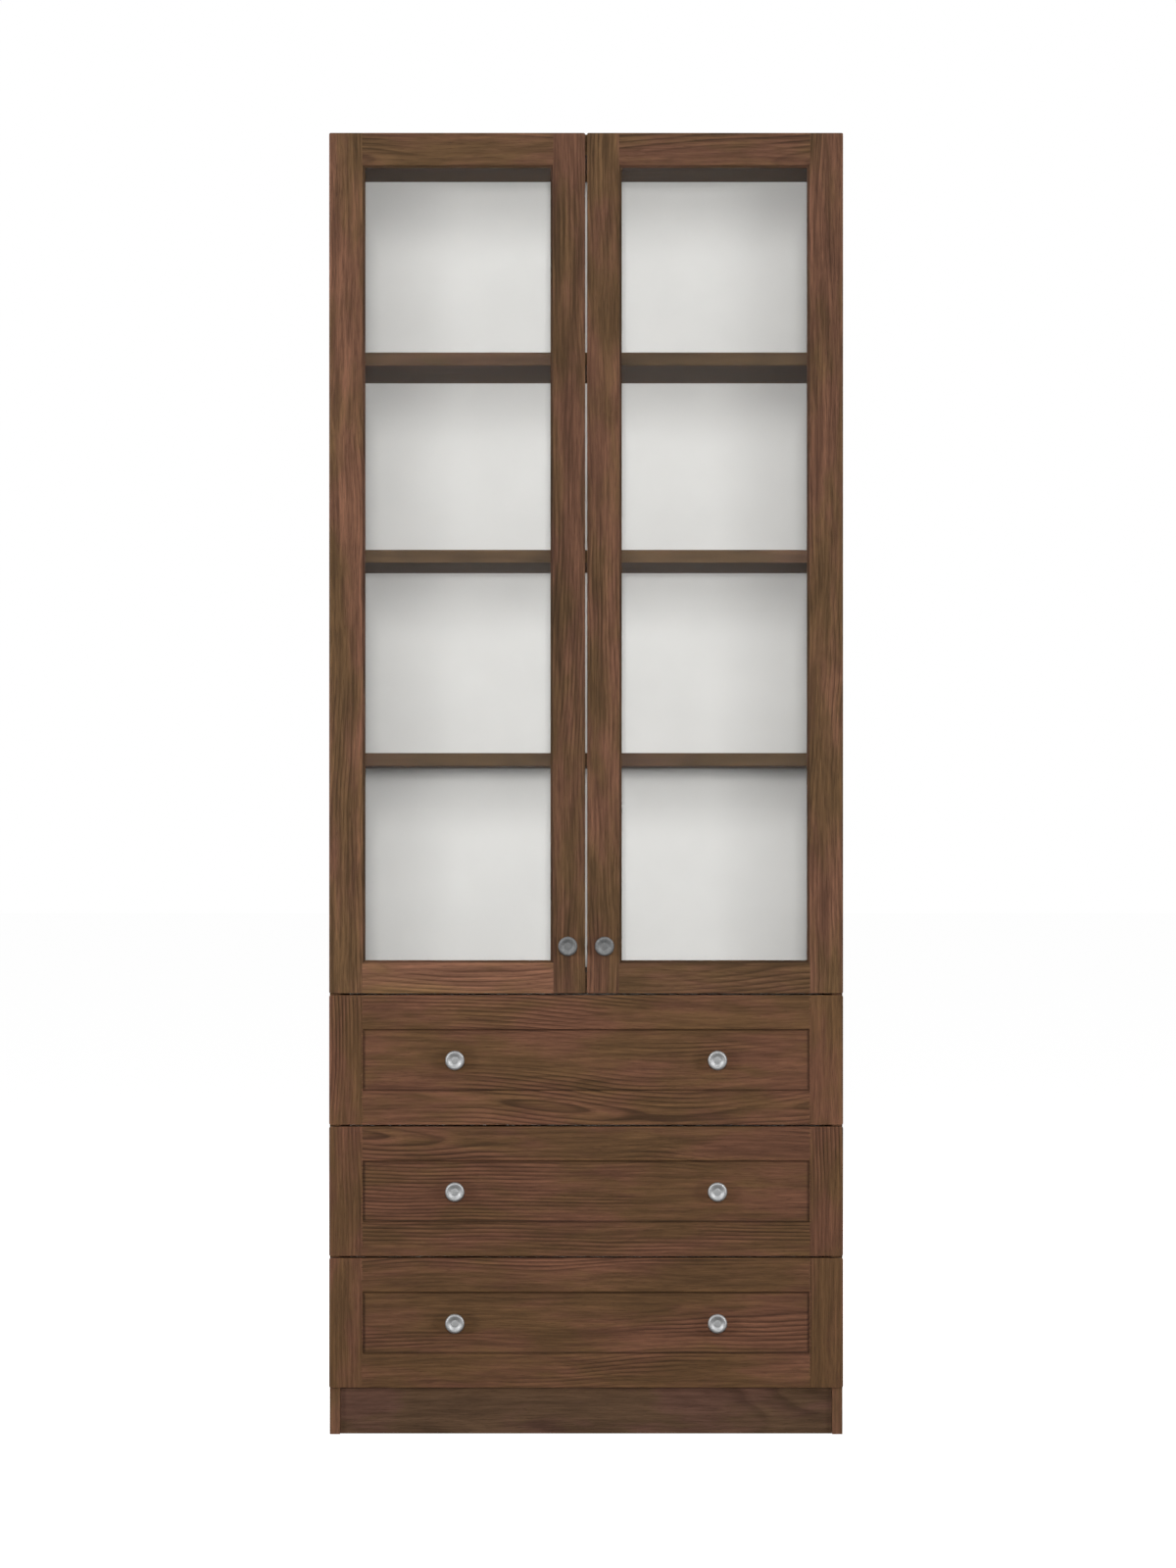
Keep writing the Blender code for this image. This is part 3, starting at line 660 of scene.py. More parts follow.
def rounded(corners: np.ndarray, radii: np.ndarray, steps: int = ROUND_STEPS) -> np.ndarray:
    """Rounds the corners of a closed outline.

    At each corner, the arc's centre lies on the bisector, radius / sin(half angle) from the corner. The
    points turn about it from one tangent point to the other, by equal angles.

    Args:
        corners: the outline, shape (corners, 2).
        radii: a radius for each corner, which may be zero.
        steps: how many chords an arc has.

    Returns:
        The points, shape (corners, steps + 1, 2).
    """
    corners = np.asarray(corners, float)
    radii = np.broadcast_to(np.asarray(radii, float), len(corners))[:, None]
    back = np.roll(corners, 1, axis=0) - corners
    ahead = np.roll(corners, -1, axis=0) - corners
    back /= np.linalg.norm(back, axis=1, keepdims=True)
    ahead /= np.linalg.norm(ahead, axis=1, keepdims=True)
    half = np.arccos(np.clip((back * ahead).sum(1, keepdims=True), -1, 1)) / 2
    bisector = back + ahead
    bisector /= np.maximum(np.linalg.norm(bisector, axis=1, keepdims=True), TINY_LENGTH)
    centre = corners + bisector * radii / np.sin(half)
    first = corners + back * radii / np.tan(half) - centre
    last = corners + ahead * radii / np.tan(half) - centre
    sweep = (np.pi - 2 * half)[:, None]
    share = np.linspace(0, 1, steps + 1)[None, :, None]
    whole = np.maximum(np.sin(sweep), TINY_SINE)
    arc = (np.sin((1 - share) * sweep) * first[:, None] + np.sin(share * sweep) * last[:, None]) / whole
    return centre[:, None] + arc


def rectangle(low: Sequence[float], high: Sequence[float]) -> np.ndarray:
    """The corners of a rectangle from its lowest one on, once round."""
    (a0, b0), (a1, b1) = low, high
    return np.array([(a0, b0), (a1, b0), (a1, b1), (a0, b1)])


def mirrored(values: np.ndarray) -> np.ndarray:
    """The values, then the same ones backwards."""
    return np.concatenate([values, values[::-1]])


def pairs(first: np.ndarray, second: np.ndarray) -> np.ndarray:
    """Points in a plane from their first and their second coordinates."""
    return np.stack([first, second], axis=1)


def from_both_ends(low: float, high: float, distances: np.ndarray) -> np.ndarray:
    """Places at these distances above the low end, then below the high end, in rising order."""
    return np.concatenate([low + distances, (high - distances)[::-1]])


def arris_marks(corners: int, marked: Iterable[int], steps: int = ROUND_STEPS) -> np.ndarray:
    """Tells which sides of a rounded outline lie on the arcs of the marked corners.

    Args:
        corners: how many corners the outline has.
        marked: the corners whose arcs count.
        steps: how many chords an arc has.

    Returns:
        One number for each side, 1 on a marked arc and 0 elsewhere.
    """
    marks = np.zeros((corners, steps + 1))
    marks[list(marked), :steps] = 1
    return marks.reshape(-1)


def quarter(radius: float, steps: int = ROUND_STEPS) -> tuple[np.ndarray, np.ndarray]:
    """Distances from an end and drops of a quarter round: radius (1 - cos a) and radius (1 - sin a)."""
    turn = np.linspace(0, np.pi / 2, steps + 1)
    return radius * (1 - np.cos(turn)), radius * (1 - np.sin(turn))


def drop_at(distance: np.ndarray, radius: float) -> np.ndarray:
    """How far a rounded edge has dropped at a distance from the end: r - sqrt(r2 - (r - distance)2)."""
    inside = np.clip(radius - distance, 0, radius)
    return radius - np.sqrt(radius**2 - inside**2)


SCREW_SIDES = 48
CROSS_ARM, CROSS_SLOT = 0.62, 0.13
HEAD_LEVELS = ((1.0, 0.0), (1.0, 0.35), (0.93, 0.75), (0.78, 0.95), (0.66, 1.0))
RECESS_LEVELS = ((1.0, 1.0), (0.8, -0.6))


class Shells:
    """Closed shells of one piece, collected as arrays before they become one mesh."""

    def __init__(self) -> None:
        """Starts with no shell."""
        self.points: list[np.ndarray] = []
        self.faces: list[list[int]] = []
        self.wear: list[float] = []
        self.paint: list[int] = []
        self.count = 0

    def skin(self, rings: np.ndarray, marks: np.ndarray | None = None, paint: int = 0) -> "Shells":
        """Adds a stack of closed rings, joined by quads and closed by a face at each end.

        Args:
            rings: points of shape (rings, points, 3).
            marks: for each side of the outline, its wear above zero and its painted shade below zero, shape
                (points,) or (rings - 1, points).
            paint: which of the piece's finishes it wears.

        Returns:
            These shells.
        """
        levels, size = rings.shape[:2]
        index = self.count + np.arange(levels * size).reshape(levels, size)
        ahead = np.roll(index, -1, axis=1)
        quads = np.stack([index[:-1], ahead[:-1], ahead[1:], index[1:]], axis=-1).reshape(-1, 4)
        face_marks = np.broadcast_to(0.0 if marks is None else marks, (levels - 1, size)).reshape(-1)
        self.points.append(rings.reshape(-1, 3))
        self.faces += [*quads.tolist(), index[0][::-1].tolist(), index[-1].tolist()]
        self.wear += [*face_marks.tolist(), 0.0, 0.0]
        self.paint += [paint] * (len(quads) + 2)
        self.count += levels * size
        return self

    def lathe(
        self, profile: np.ndarray, centre: Sequence[float], axis: int, sign: float = 1, sides: int = 48,
        paint: int = 0,
    ) -> "Shells":
        """Adds a profile turned about an axis: radius times (cos, sin) across it, and height along it.

        Args:
            profile: points of (radius, height), which start and end on the axis.
            centre: the point on the axis where the height is zero.
            axis: the coordinate that the axis runs along.
            sign: which way the height counts.
            sides: how many points a turn has.
            paint: which of the piece's finishes it wears.

        Returns:
            These shells.
        """
        profile = np.asarray(profile, float)
        turn = np.linspace(0, 2 * np.pi, sides, endpoint=False)
        rings = np.zeros((len(profile), sides, 3)) + np.asarray(centre, float)
        first, second = others(axis)
        rings[:, :, first] += profile[:, :1] * np.cos(turn)
        rings[:, :, second] += profile[:, :1] * np.sin(turn)
        rings[:, :, axis] += sign * profile[:, 1:]
        return self.skin(rings, paint=paint)

    def plate(
        self, low: Sequence[float], high: Sequence[float], axis: int, corner: float, ease: float,
        paint: int = 0,
    ) -> "Shells":
        """Adds a flat plate with rounded corners, and faces eased all round.

        Each ring is the rounded rectangle set in by the drop of a quarter round at that height.

        Args:
            low: the plate's lowest corner.
            high: its highest corner.
            axis: the coordinate through its thickness.
            corner: radius of its four corners.
            ease: radius between its edges and its faces.
            paint: which of the piece's finishes it wears.

        Returns:
            These shells.
        """
        low, high = np.asarray(low, float), np.asarray(high, float)
        across = others(axis)
        rise, drop = quarter(ease)
        heights = from_both_ends(low[axis], high[axis], rise)
        rings = np.zeros((len(heights), 4 * (ROUND_STEPS + 1), 3))
        for ring, height, inset in zip(rings, heights, mirrored(drop)):
            corners = rectangle(low[across] + inset, high[across] - inset)
            ring[:, across] = rounded(corners, max(corner - inset, ease / 4)).reshape(-1, 2)
            ring[:, axis] = height
        marks = np.zeros((len(heights) - 1, 1))
        marks[:ROUND_STEPS] = 1
        marks[-ROUND_STEPS:] = 1
        return self.skin(rings, marks, paint)

    def screw(
        self, seat: Sequence[float], axis: int, sign: float, radius: float, rise: float, paint: int = 0,
    ) -> "Shells":
        """Adds a screw head with a cross recess, standing on its seat.

        The recess's outline is, at each angle, the further reach of two bars that cross at its centre. Each
        ring is an outline times a share, at a share of the rise: side, crown, recess, the recess's floor.

        Args:
            seat: the middle of the head's underside.
            axis: the coordinate along the screw.
            sign: which way the head faces.
            radius: the head's radius.
            rise: how high it stands.
            paint: which of the piece's finishes it wears.

        Returns:
            These shells.
        """
        turn = (np.arange(SCREW_SIDES) + 0.5) * 2 * np.pi / SCREW_SIDES
        cosine, sine = np.cos(turn), np.sin(turn)
        arm, slot = CROSS_ARM * radius, CROSS_SLOT * radius
        recess = np.maximum(
            np.minimum(arm / np.abs(cosine), slot / np.abs(sine)),
            np.minimum(arm / np.abs(sine), slot / np.abs(cosine)),
        )
        full = np.full_like(turn, radius)
        levels = [(full, *level) for level in HEAD_LEVELS] + [(recess, *level) for level in RECESS_LEVELS]
        rings = np.zeros((len(levels), SCREW_SIDES, 3)) + np.asarray(seat, float)
        first, second = others(axis)
        for ring, (outline, share, height) in zip(rings, levels):
            ring[:, first] += share * outline * cosine
            ring[:, second] += share * outline * sine
            ring[:, axis] += sign * height * rise
        return self.skin(rings, paint=paint)

    def mesh(self, name: str) -> bpy.types.Mesh:
        """Makes the mesh: doubles merged, faces turned outwards, and the marks of worn edges and of painted
        shade kept as an attribute.

        Args:
            name: the mesh's name.

        Returns:
            The mesh.
        """
        mesh = bpy.data.meshes.new(name)
        mesh.from_pydata(np.concatenate(self.points).tolist(), [], self.faces)
        mesh.attributes.new("wear", "FLOAT", "FACE").data.foreach_set("value", self.wear)
        mesh.polygons.foreach_set("material_index", self.paint)
        work = bmesh.new()
        work.from_mesh(mesh)
        bmesh.ops.remove_doubles(work, verts=work.verts, dist=WELD)
        bmesh.ops.recalc_face_normals(work, faces=work.faces)
        work.to_mesh(mesh)
        work.free()
        mesh.shade_smooth()
        mesh.set_sharp_from_angle(angle=SHARP_ANGLE)
        return mesh


@dataclass
class Packed:
    """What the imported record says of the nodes: the body and the material slot of each."""

    bodies: dict[str, str] = field(default_factory=dict)
    slots: dict[str, str] = field(default_factory=dict)

    @classmethod
    def read(cls) -> "Packed":
        """Reads both from the frame's record.

        Returns:
            What it says.
        """
        record = frame["record"]
        bodies = {node: body for body, nodes in record["behaviour"]["bodies"].items() for node in nodes}
        slots = {part["node"]: part["material_slot"] for part in record["subparts"]}
        return cls(bodies, slots)


PACKED = Packed.read()


def paint_node(node: str, finish: Finish) -> None:
    """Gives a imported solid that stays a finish.

    Args:
        node: the node's name.
        finish: what it is dressed in.
    """
    materials = frame["nodes"][node].data.materials
    materials.clear()
    materials.append(dressed(finish))


def new_object(name: str, data: bpy.types.ID) -> bpy.types.Object:
    """Makes an object and puts it into the scene.

    Args:
        name: its name.
        data: its mesh, lamp or camera.

    Returns:
        The object.
    """
    made = bpy.data.objects.new(name, data)
    bpy.context.scene.collection.objects.link(made)
    return made


def place(
    shells: Shells, name: str, node: str, finishes: Sequence[Finish], stands_for: bool = True,
    slot: str | None = None, cutter: Shells | None = None,
) -> bpy.types.Object:
    """Turns shells into a piece that rides with a node's body.

    Args:
        shells: the piece's surface.
        name: the piece's name.
        node: the node that it belongs to.
        finishes: its finishes, in the order of the shells' paint.
        stands_for: whether it is shown instead of that node.
        slot: its material slot, if that isn't the node's own; not used.
        cutter: shells whose space is cut out of it.

    Returns:
        The piece.
    """
    piece = new_object(name, shells.mesh(name))
    if cutter is not None:
        cut_out(piece, cutter)
    for finish in finishes:
        piece.data.materials.append(dressed(finish))
    weighted = piece.modifiers.new("even_shading", "WEIGHTED_NORMAL")
    weighted.keep_sharp = True
    weighted.weight = LARGE_FACES_LEAD
    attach(piece, PACKED.bodies[node])
    if stands_for:
        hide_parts(node)
    log.info("%s: %d faces on %s", name, len(piece.data.polygons), PACKED.bodies[node])
    return piece


def cut_out(piece: bpy.types.Object, cutter: Shells) -> None:
    """Cuts the space of closed shells out of a piece, and keeps the result as its mesh.

    Args:
        piece: the piece.
        cutter: the shells.
    """
    tool = new_object(f"{piece.name}_tool", cutter.mesh(f"{piece.name}_tool"))
    cut = piece.modifiers.new("cut", "BOOLEAN")
    cut.operation = "DIFFERENCE"
    cut.solver = "EXACT"
    cut.object = tool
    seen = piece.evaluated_get(bpy.context.evaluated_depsgraph_get())
    whole = piece.data
    piece.data = bpy.data.meshes.new_from_object(seen)
    piece.modifiers.clear()
    bpy.data.objects.remove(tool)
    piece.data.set_sharp_from_angle(angle=SHARP_ANGLE)
    bpy.data.meshes.remove(whole)
    piece.data.name = piece.name


def box(node: str) -> tuple[np.ndarray, np.ndarray]:
    """The lowest and the highest corner of a node."""
    low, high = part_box(node)
    return np.array(low), np.array(high)


def bar(
    shells: Shells, low: np.ndarray, high: np.ndarray, axis: int, ease: Sequence[float], paint: int = 0,
) -> Shells:
    """Adds a straight board: a rectangle with eased corners carried along an axis.

    Args:
        shells: where it is added.
        low: the board's lowest corner.
        high: its highest corner.
        axis: the coordinate that it runs along.
        ease: the radius of each long edge, from the lowest corner on round the outline.
        paint: which of the piece's finishes it wears.

    Returns:
        The shells.
    """
    across = others(axis)
    outline = rounded(rectangle(low[across], high[across]), ease).reshape(-1, 2)
    rings = np.zeros((2, len(outline), 3))
    rings[:, :, across] = outline
    rings[:, :, axis] = [[low[axis]], [high[axis]]]
    marked = [corner for corner, radius in enumerate(ease) if radius >= WORN_RADIUS]
    return shells.skin(rings, arris_marks(len(ease), marked), paint)


# Sub-assemblies


@dataclass
class Carcass:
    """The fixed case: sides, boards, plinth, back panels, shelves and the pins that carry them."""

    board_t: float = 16 * MM
    ease: float = 0.8 * MM
    band: float = 0.2 * MM
    back_groove: float = 7 * MM
    pin_r: float = 2.5 * MM
    pin_l: float = 8 * MM
    pin_in_side: float = 3 * MM
    pin_nose_r: float = 1.2 * MM
    pin_groove_d: float = 0.4 * MM
    pin_groove_at: tuple[float, float, float, float] = (2 * MM, 2.3 * MM, 2.7 * MM, 3 * MM)
    pin_from_end: float = 50 * MM
    side_pith: Point = (30 * MM, 20 * MM)
    side_seed: float = 3.1
    board_pith: Point = (160 * MM, 14 * MM)

    def build(self) -> None:
        """Builds and dresses every piece of the case."""
        for side in Side:
            self._side_panel(side)
            self._pins(side)
        self._boards()
        self._backs()

    def _side_panel(self, side: Side) -> None:
        """Builds a side: its section, with the groove for the back, carried from floor to top.

        Args:
            side: which side.
        """
        node = f"side_panel_{side.word}"
        low, high = box(node)
        groove_low, groove_high = box("back_panel_upper")
        outer = side.value * abs(low if side is Side.LEFT else high)[0]
        groove = np.array([groove_low[1] - FIT_GAP, groove_high[1] + FIT_GAP])
        floor = self.board_t - self.back_groove
        outline = [
            (0, low[1]), (self.board_t, low[1]), (self.board_t, groove[0]), (floor, groove[0]),
            (floor, groove[1]), (self.board_t, groove[1]), (self.board_t, high[1]), (0, high[1]),
        ]
        radii = [self.ease, self.ease, 0, 0, 0, 0, self.band, self.band]
        section = rounded(outline, radii).reshape(-1, 2)
        ends, drop = quarter(self.band)
        inset = mirrored(drop)[:, None]
        rings = np.zeros((len(inset), len(section), 3))
        rings[:, :, 0] = outer - side.value * np.clip(section[:, 0], inset, self.board_t - inset)
        rings[:, :, 1] = np.clip(section[:, 1], low[1] + inset, high[1] - inset)
        rings[:, :, 2] = from_both_ends(low[2], high[2], ends)[:, None]
        pith = (outer - side.value * self.side_pith[0], self.side_pith[1])
        looks = walnut(node, Run.UPRIGHT, pith, self.side_seed * side.value, **SIDE_SHADE)
        shells = Shells().skin(rings, arris_marks(len(outline), [0, 1]))
        piece = place(shells, f"{node}_veneered", node, [looks, CHIPBOARD])
        self._paint_by_normal(piece, way=1, least=0.9, down=0.9)

    def _paint_by_normal(self, piece: bpy.types.Object, way: int, least: float, down: float = 2.0) -> None:
        """Gives a piece's second finish to the faces that look one way along y, or down.

        Args:
            piece: the piece.
            way: 1 for faces that look back, -1 for faces that look to the front.
            least: the least y of a unit normal, times way.
            down: the least fall of a unit normal, past 1 for none.
        """
        mesh = piece.data
        normals = np.zeros(len(mesh.polygons) * 3, np.float32)
        mesh.polygons.foreach_get("normal", normals)
        normals = normals.reshape(-1, 3)
        second = (way * normals[:, 1] > least) | (-normals[:, 2] > down)
        mesh.polygons.foreach_set("material_index", second.astype(np.int32))

    def _pins(self, side: Side) -> None:
        """Builds the pins under the shelves on one side: rods with a rounded nose and a groove behind it.

        Args:
            side: which side.
        """
        shells = Shells()
        nose, drop = quarter(self.pin_nose_r)
        tip = pairs(self.pin_r - drop, self.pin_l - nose)[::-1]
        inner = box("deck_board")[1][0] + FIT_GAP
        throat = self.pin_r - self.pin_groove_d
        down, floor, rise, up = self.pin_groove_at
        rod = [
            (0, -self.pin_in_side), (self.pin_r, -self.pin_in_side), (self.pin_r, down), (throat, floor),
            (throat, rise), (self.pin_r, up),
        ]
        profile = np.concatenate([rod, tip, [(0, self.pin_l)]])
        for number in (1, 2, 3):
            low, high = box(f"shelf_{number}")
            for y in (low[1] + self.pin_from_end, high[1] - self.pin_from_end):
                centre = (side.value * inner, y, low[2] - FIT_GAP - self.pin_r)
                shells.lathe(profile, centre, 0, -side.value, sides=24)
        place(
            shells, f"shelf_pins_{side.word}", f"side_panel_{side.word}", [NICKEL], stands_for=False,
            slot="satin_nickel",
        )

    def _boards(self) -> None:
        """Builds boards, plinths and shelves: rectangles with an eased front edge, carried across.

        All but the plinths get another, darker walnut on the front edge, with a tone of its own: partly an
        edge band's tone, partly painted shade.
        """
        ease = (self.ease, self.band, self.band, self.ease)
        edges = {
            "bottom_board": (11.3, 1.0), "deck_board": (17.9, 1.0), "top_board": (23.5, 1.0),
            "shelf_1": (31.4, 1.0), "shelf_2": (37.2, 1.12), "shelf_3": (43.6, 0.92),
        }
        for node, (seed, tone) in edges.items():
            low, high = box(node)
            pith = (self.board_pith[0], low[2] + self.board_pith[1])
            face = walnut(node, Run.ACROSS, pith, seed, **BOARD_SHADE)
            edge = walnut(f"{node}_edge", Run.ACROSS, pith, seed, tone=tone, **EDGE_SHADE)
            piece = place(bar(Shells(), low, high, 0, ease), f"{node}_veneered", node, [face, edge])
            self._paint_by_normal(piece, way=-1, least=0.7)
        for node, seed in {"plinth_front": 51.7, "plinth_rear": 57.1}.items():
            low, high = box(node)
            pith = (self.board_pith[0], low[2] + self.board_pith[1])
            # The plinths get the darker walnut: painted shade.
            looks = walnut(node, Run.ACROSS, pith, seed, **PLINTH_PAINTED_SHADE)
            place(bar(Shells(), low, high, 0, ease), f"{node}_veneered", node, [looks])

    def _backs(self) -> None:
        """Builds the back panels, white towards the room and bare behind."""
        for node in ("back_panel_lower", "back_panel_upper"):
            low, high = box(node)
            shells = bar(Shells(), low, high, 0, (self.band,) * 4)
            piece = place(shells, f"{node}_lacquered", node, [WHITE, HARDBOARD])
            self._paint_by_normal(piece, way=1, least=0.9)


@dataclass
class Moulding:
    """The edge round an opening: a rounded arris that runs into a cove.

    In the section, a quarter circle turns down from the face, and a larger quarter circle turns in again.
    """

    width: float = 4.5 * MM
    arris_r: float = 1.2 * MM
    steps: int = 6
    # A negative mark on the cove's faces: painted shade that darkens the recess where its shadow falls.
    stain: float = -1.2

    def curve(self) -> np.ndarray:
        """The moulding's section.

        Returns:
            Points of (distance in from the start, depth behind the face), shape (points, 2).
        """
        turn = np.linspace(0, np.pi / 2, self.steps + 1)
        cove_r = self.width - self.arris_r
        arris = pairs(self.arris_r * np.sin(turn), self.arris_r * (1 - np.cos(turn)))
        cove = pairs(self.width - cove_r * np.cos(turn), self.arris_r + cove_r * np.sin(turn))
        return np.concatenate([arris[:-1], cove])

    def reach(self, depth: np.ndarray) -> np.ndarray:
        """How far in the moulding has come at a depth, by the same two circles.

        Args:
            depth: depths behind the face.

        Returns:
            Distances in from the moulding's start.
        """
        cove_r = self.width - self.arris_r
        inside = np.clip(self.arris_r - depth, 0, self.arris_r)
        first = np.sqrt(self.arris_r**2 - inside**2)
        beyond = np.clip(depth - self.arris_r, 0, cove_r)
        second = self.width - np.sqrt(cove_r**2 - beyond**2)
        return np.where(depth <= self.arris_r, first, second)


@dataclass
class Knob:
    """A turned knob with a rounded rim and a dished face, and the bolt head behind the wood."""

    finish: Finish = NICKEL
    radius: float = 15 * MM
    base_r: float = 8 * MM
    base_t: float = 2 * MM
    neck_r: float = 5.5 * MM
    flare_from: float = 13 * MM
    rim_from: float = 19 * MM
    edge_r: float = 0.7 * MM
    crest_r: float = 3 * MM
    dish_d: float = 1.8 * MM
    button_r: float = 5 * MM
    button_share: float = 0.12
    foot_edge: float = 0.4 * MM
    length: float = 26 * MM
    bolt_r: float = 4 * MM
    bolt_t: float = 2.2 * MM
    turn_steps: int = 10
    wave_steps: int = 14

    def profile(self) -> np.ndarray:
        """Half section: a foot, a waist, a flare, a rim and a dished face.

        The waist is half a cosine wave, the flare a quarter ellipse, the edge and the crest quarter circles.
        The face falls from the crest by half a cosine wave, and a low dome rises in its middle.

        Returns:
            Points of (radius, height).
        """
        turn = np.linspace(0, np.pi / 2, self.turn_steps + 1)
        wave = np.linspace(0, np.pi, self.wave_steps + 1)
        foot = [(0, 0), (self.base_r - self.foot_edge, 0), (self.base_r, self.foot_edge)]
        waist = pairs(
            self.neck_r + (self.base_r - self.neck_r) * (1 + np.cos(wave)) / 2,
            self.base_t + 2 * self.base_t * wave / np.pi,
        )
        flare = pairs(
            self.neck_r + (self.radius - self.edge_r - self.neck_r) * (1 - np.cos(turn)),
            self.flare_from + (self.rim_from - self.flare_from) * np.sin(turn),
        )
        edge = pairs(
            self.radius - self.edge_r * (1 - np.sin(turn)), self.rim_from + self.edge_r * (1 - np.cos(turn)),
        )
        crest = pairs(
            self.radius - self.crest_r * (1 - np.cos(turn)), self.length - self.crest_r * (1 - np.sin(turn)),
        )
        crest_at = self.radius - self.crest_r
        slope = pairs(
            self.button_r + (crest_at - self.button_r) * (1 - wave / np.pi),
            self.length - self.dish_d * (1 - np.cos(wave)) / 2,
        )
        button = pairs(
            self.button_r * np.cos(turn), self.length - self.dish_d * (1 - self.button_share * np.sin(turn)),
        )
        return np.concatenate([foot, waist, flare, edge, crest, slope[1:], button[1:]])

    def build(self, node: str, back_y: float) -> None:
        """Builds the knob on its node's place, and its bolt head.

        Args:
            node: the knob's node.
            back_y: the y of the face that the bolt head sits on.
        """
        low, high = box(node)
        centre = (low + high) / 2
        foot = low[1] + self.length
        turned = Shells().lathe(self.profile(), (centre[0], foot, centre[2]), 1, -1, sides=64)
        place(turned, f"{node}_turned", node, [self.finish])
        seat = (centre[0], back_y + FIT_GAP, centre[2])
        bolt = Shells().screw(seat, 1, 1, self.bolt_r, self.bolt_t)
        place(bolt, f"{node}_bolt", node, [SCREW_STEEL], stands_for=False, slot="hinge_steel")


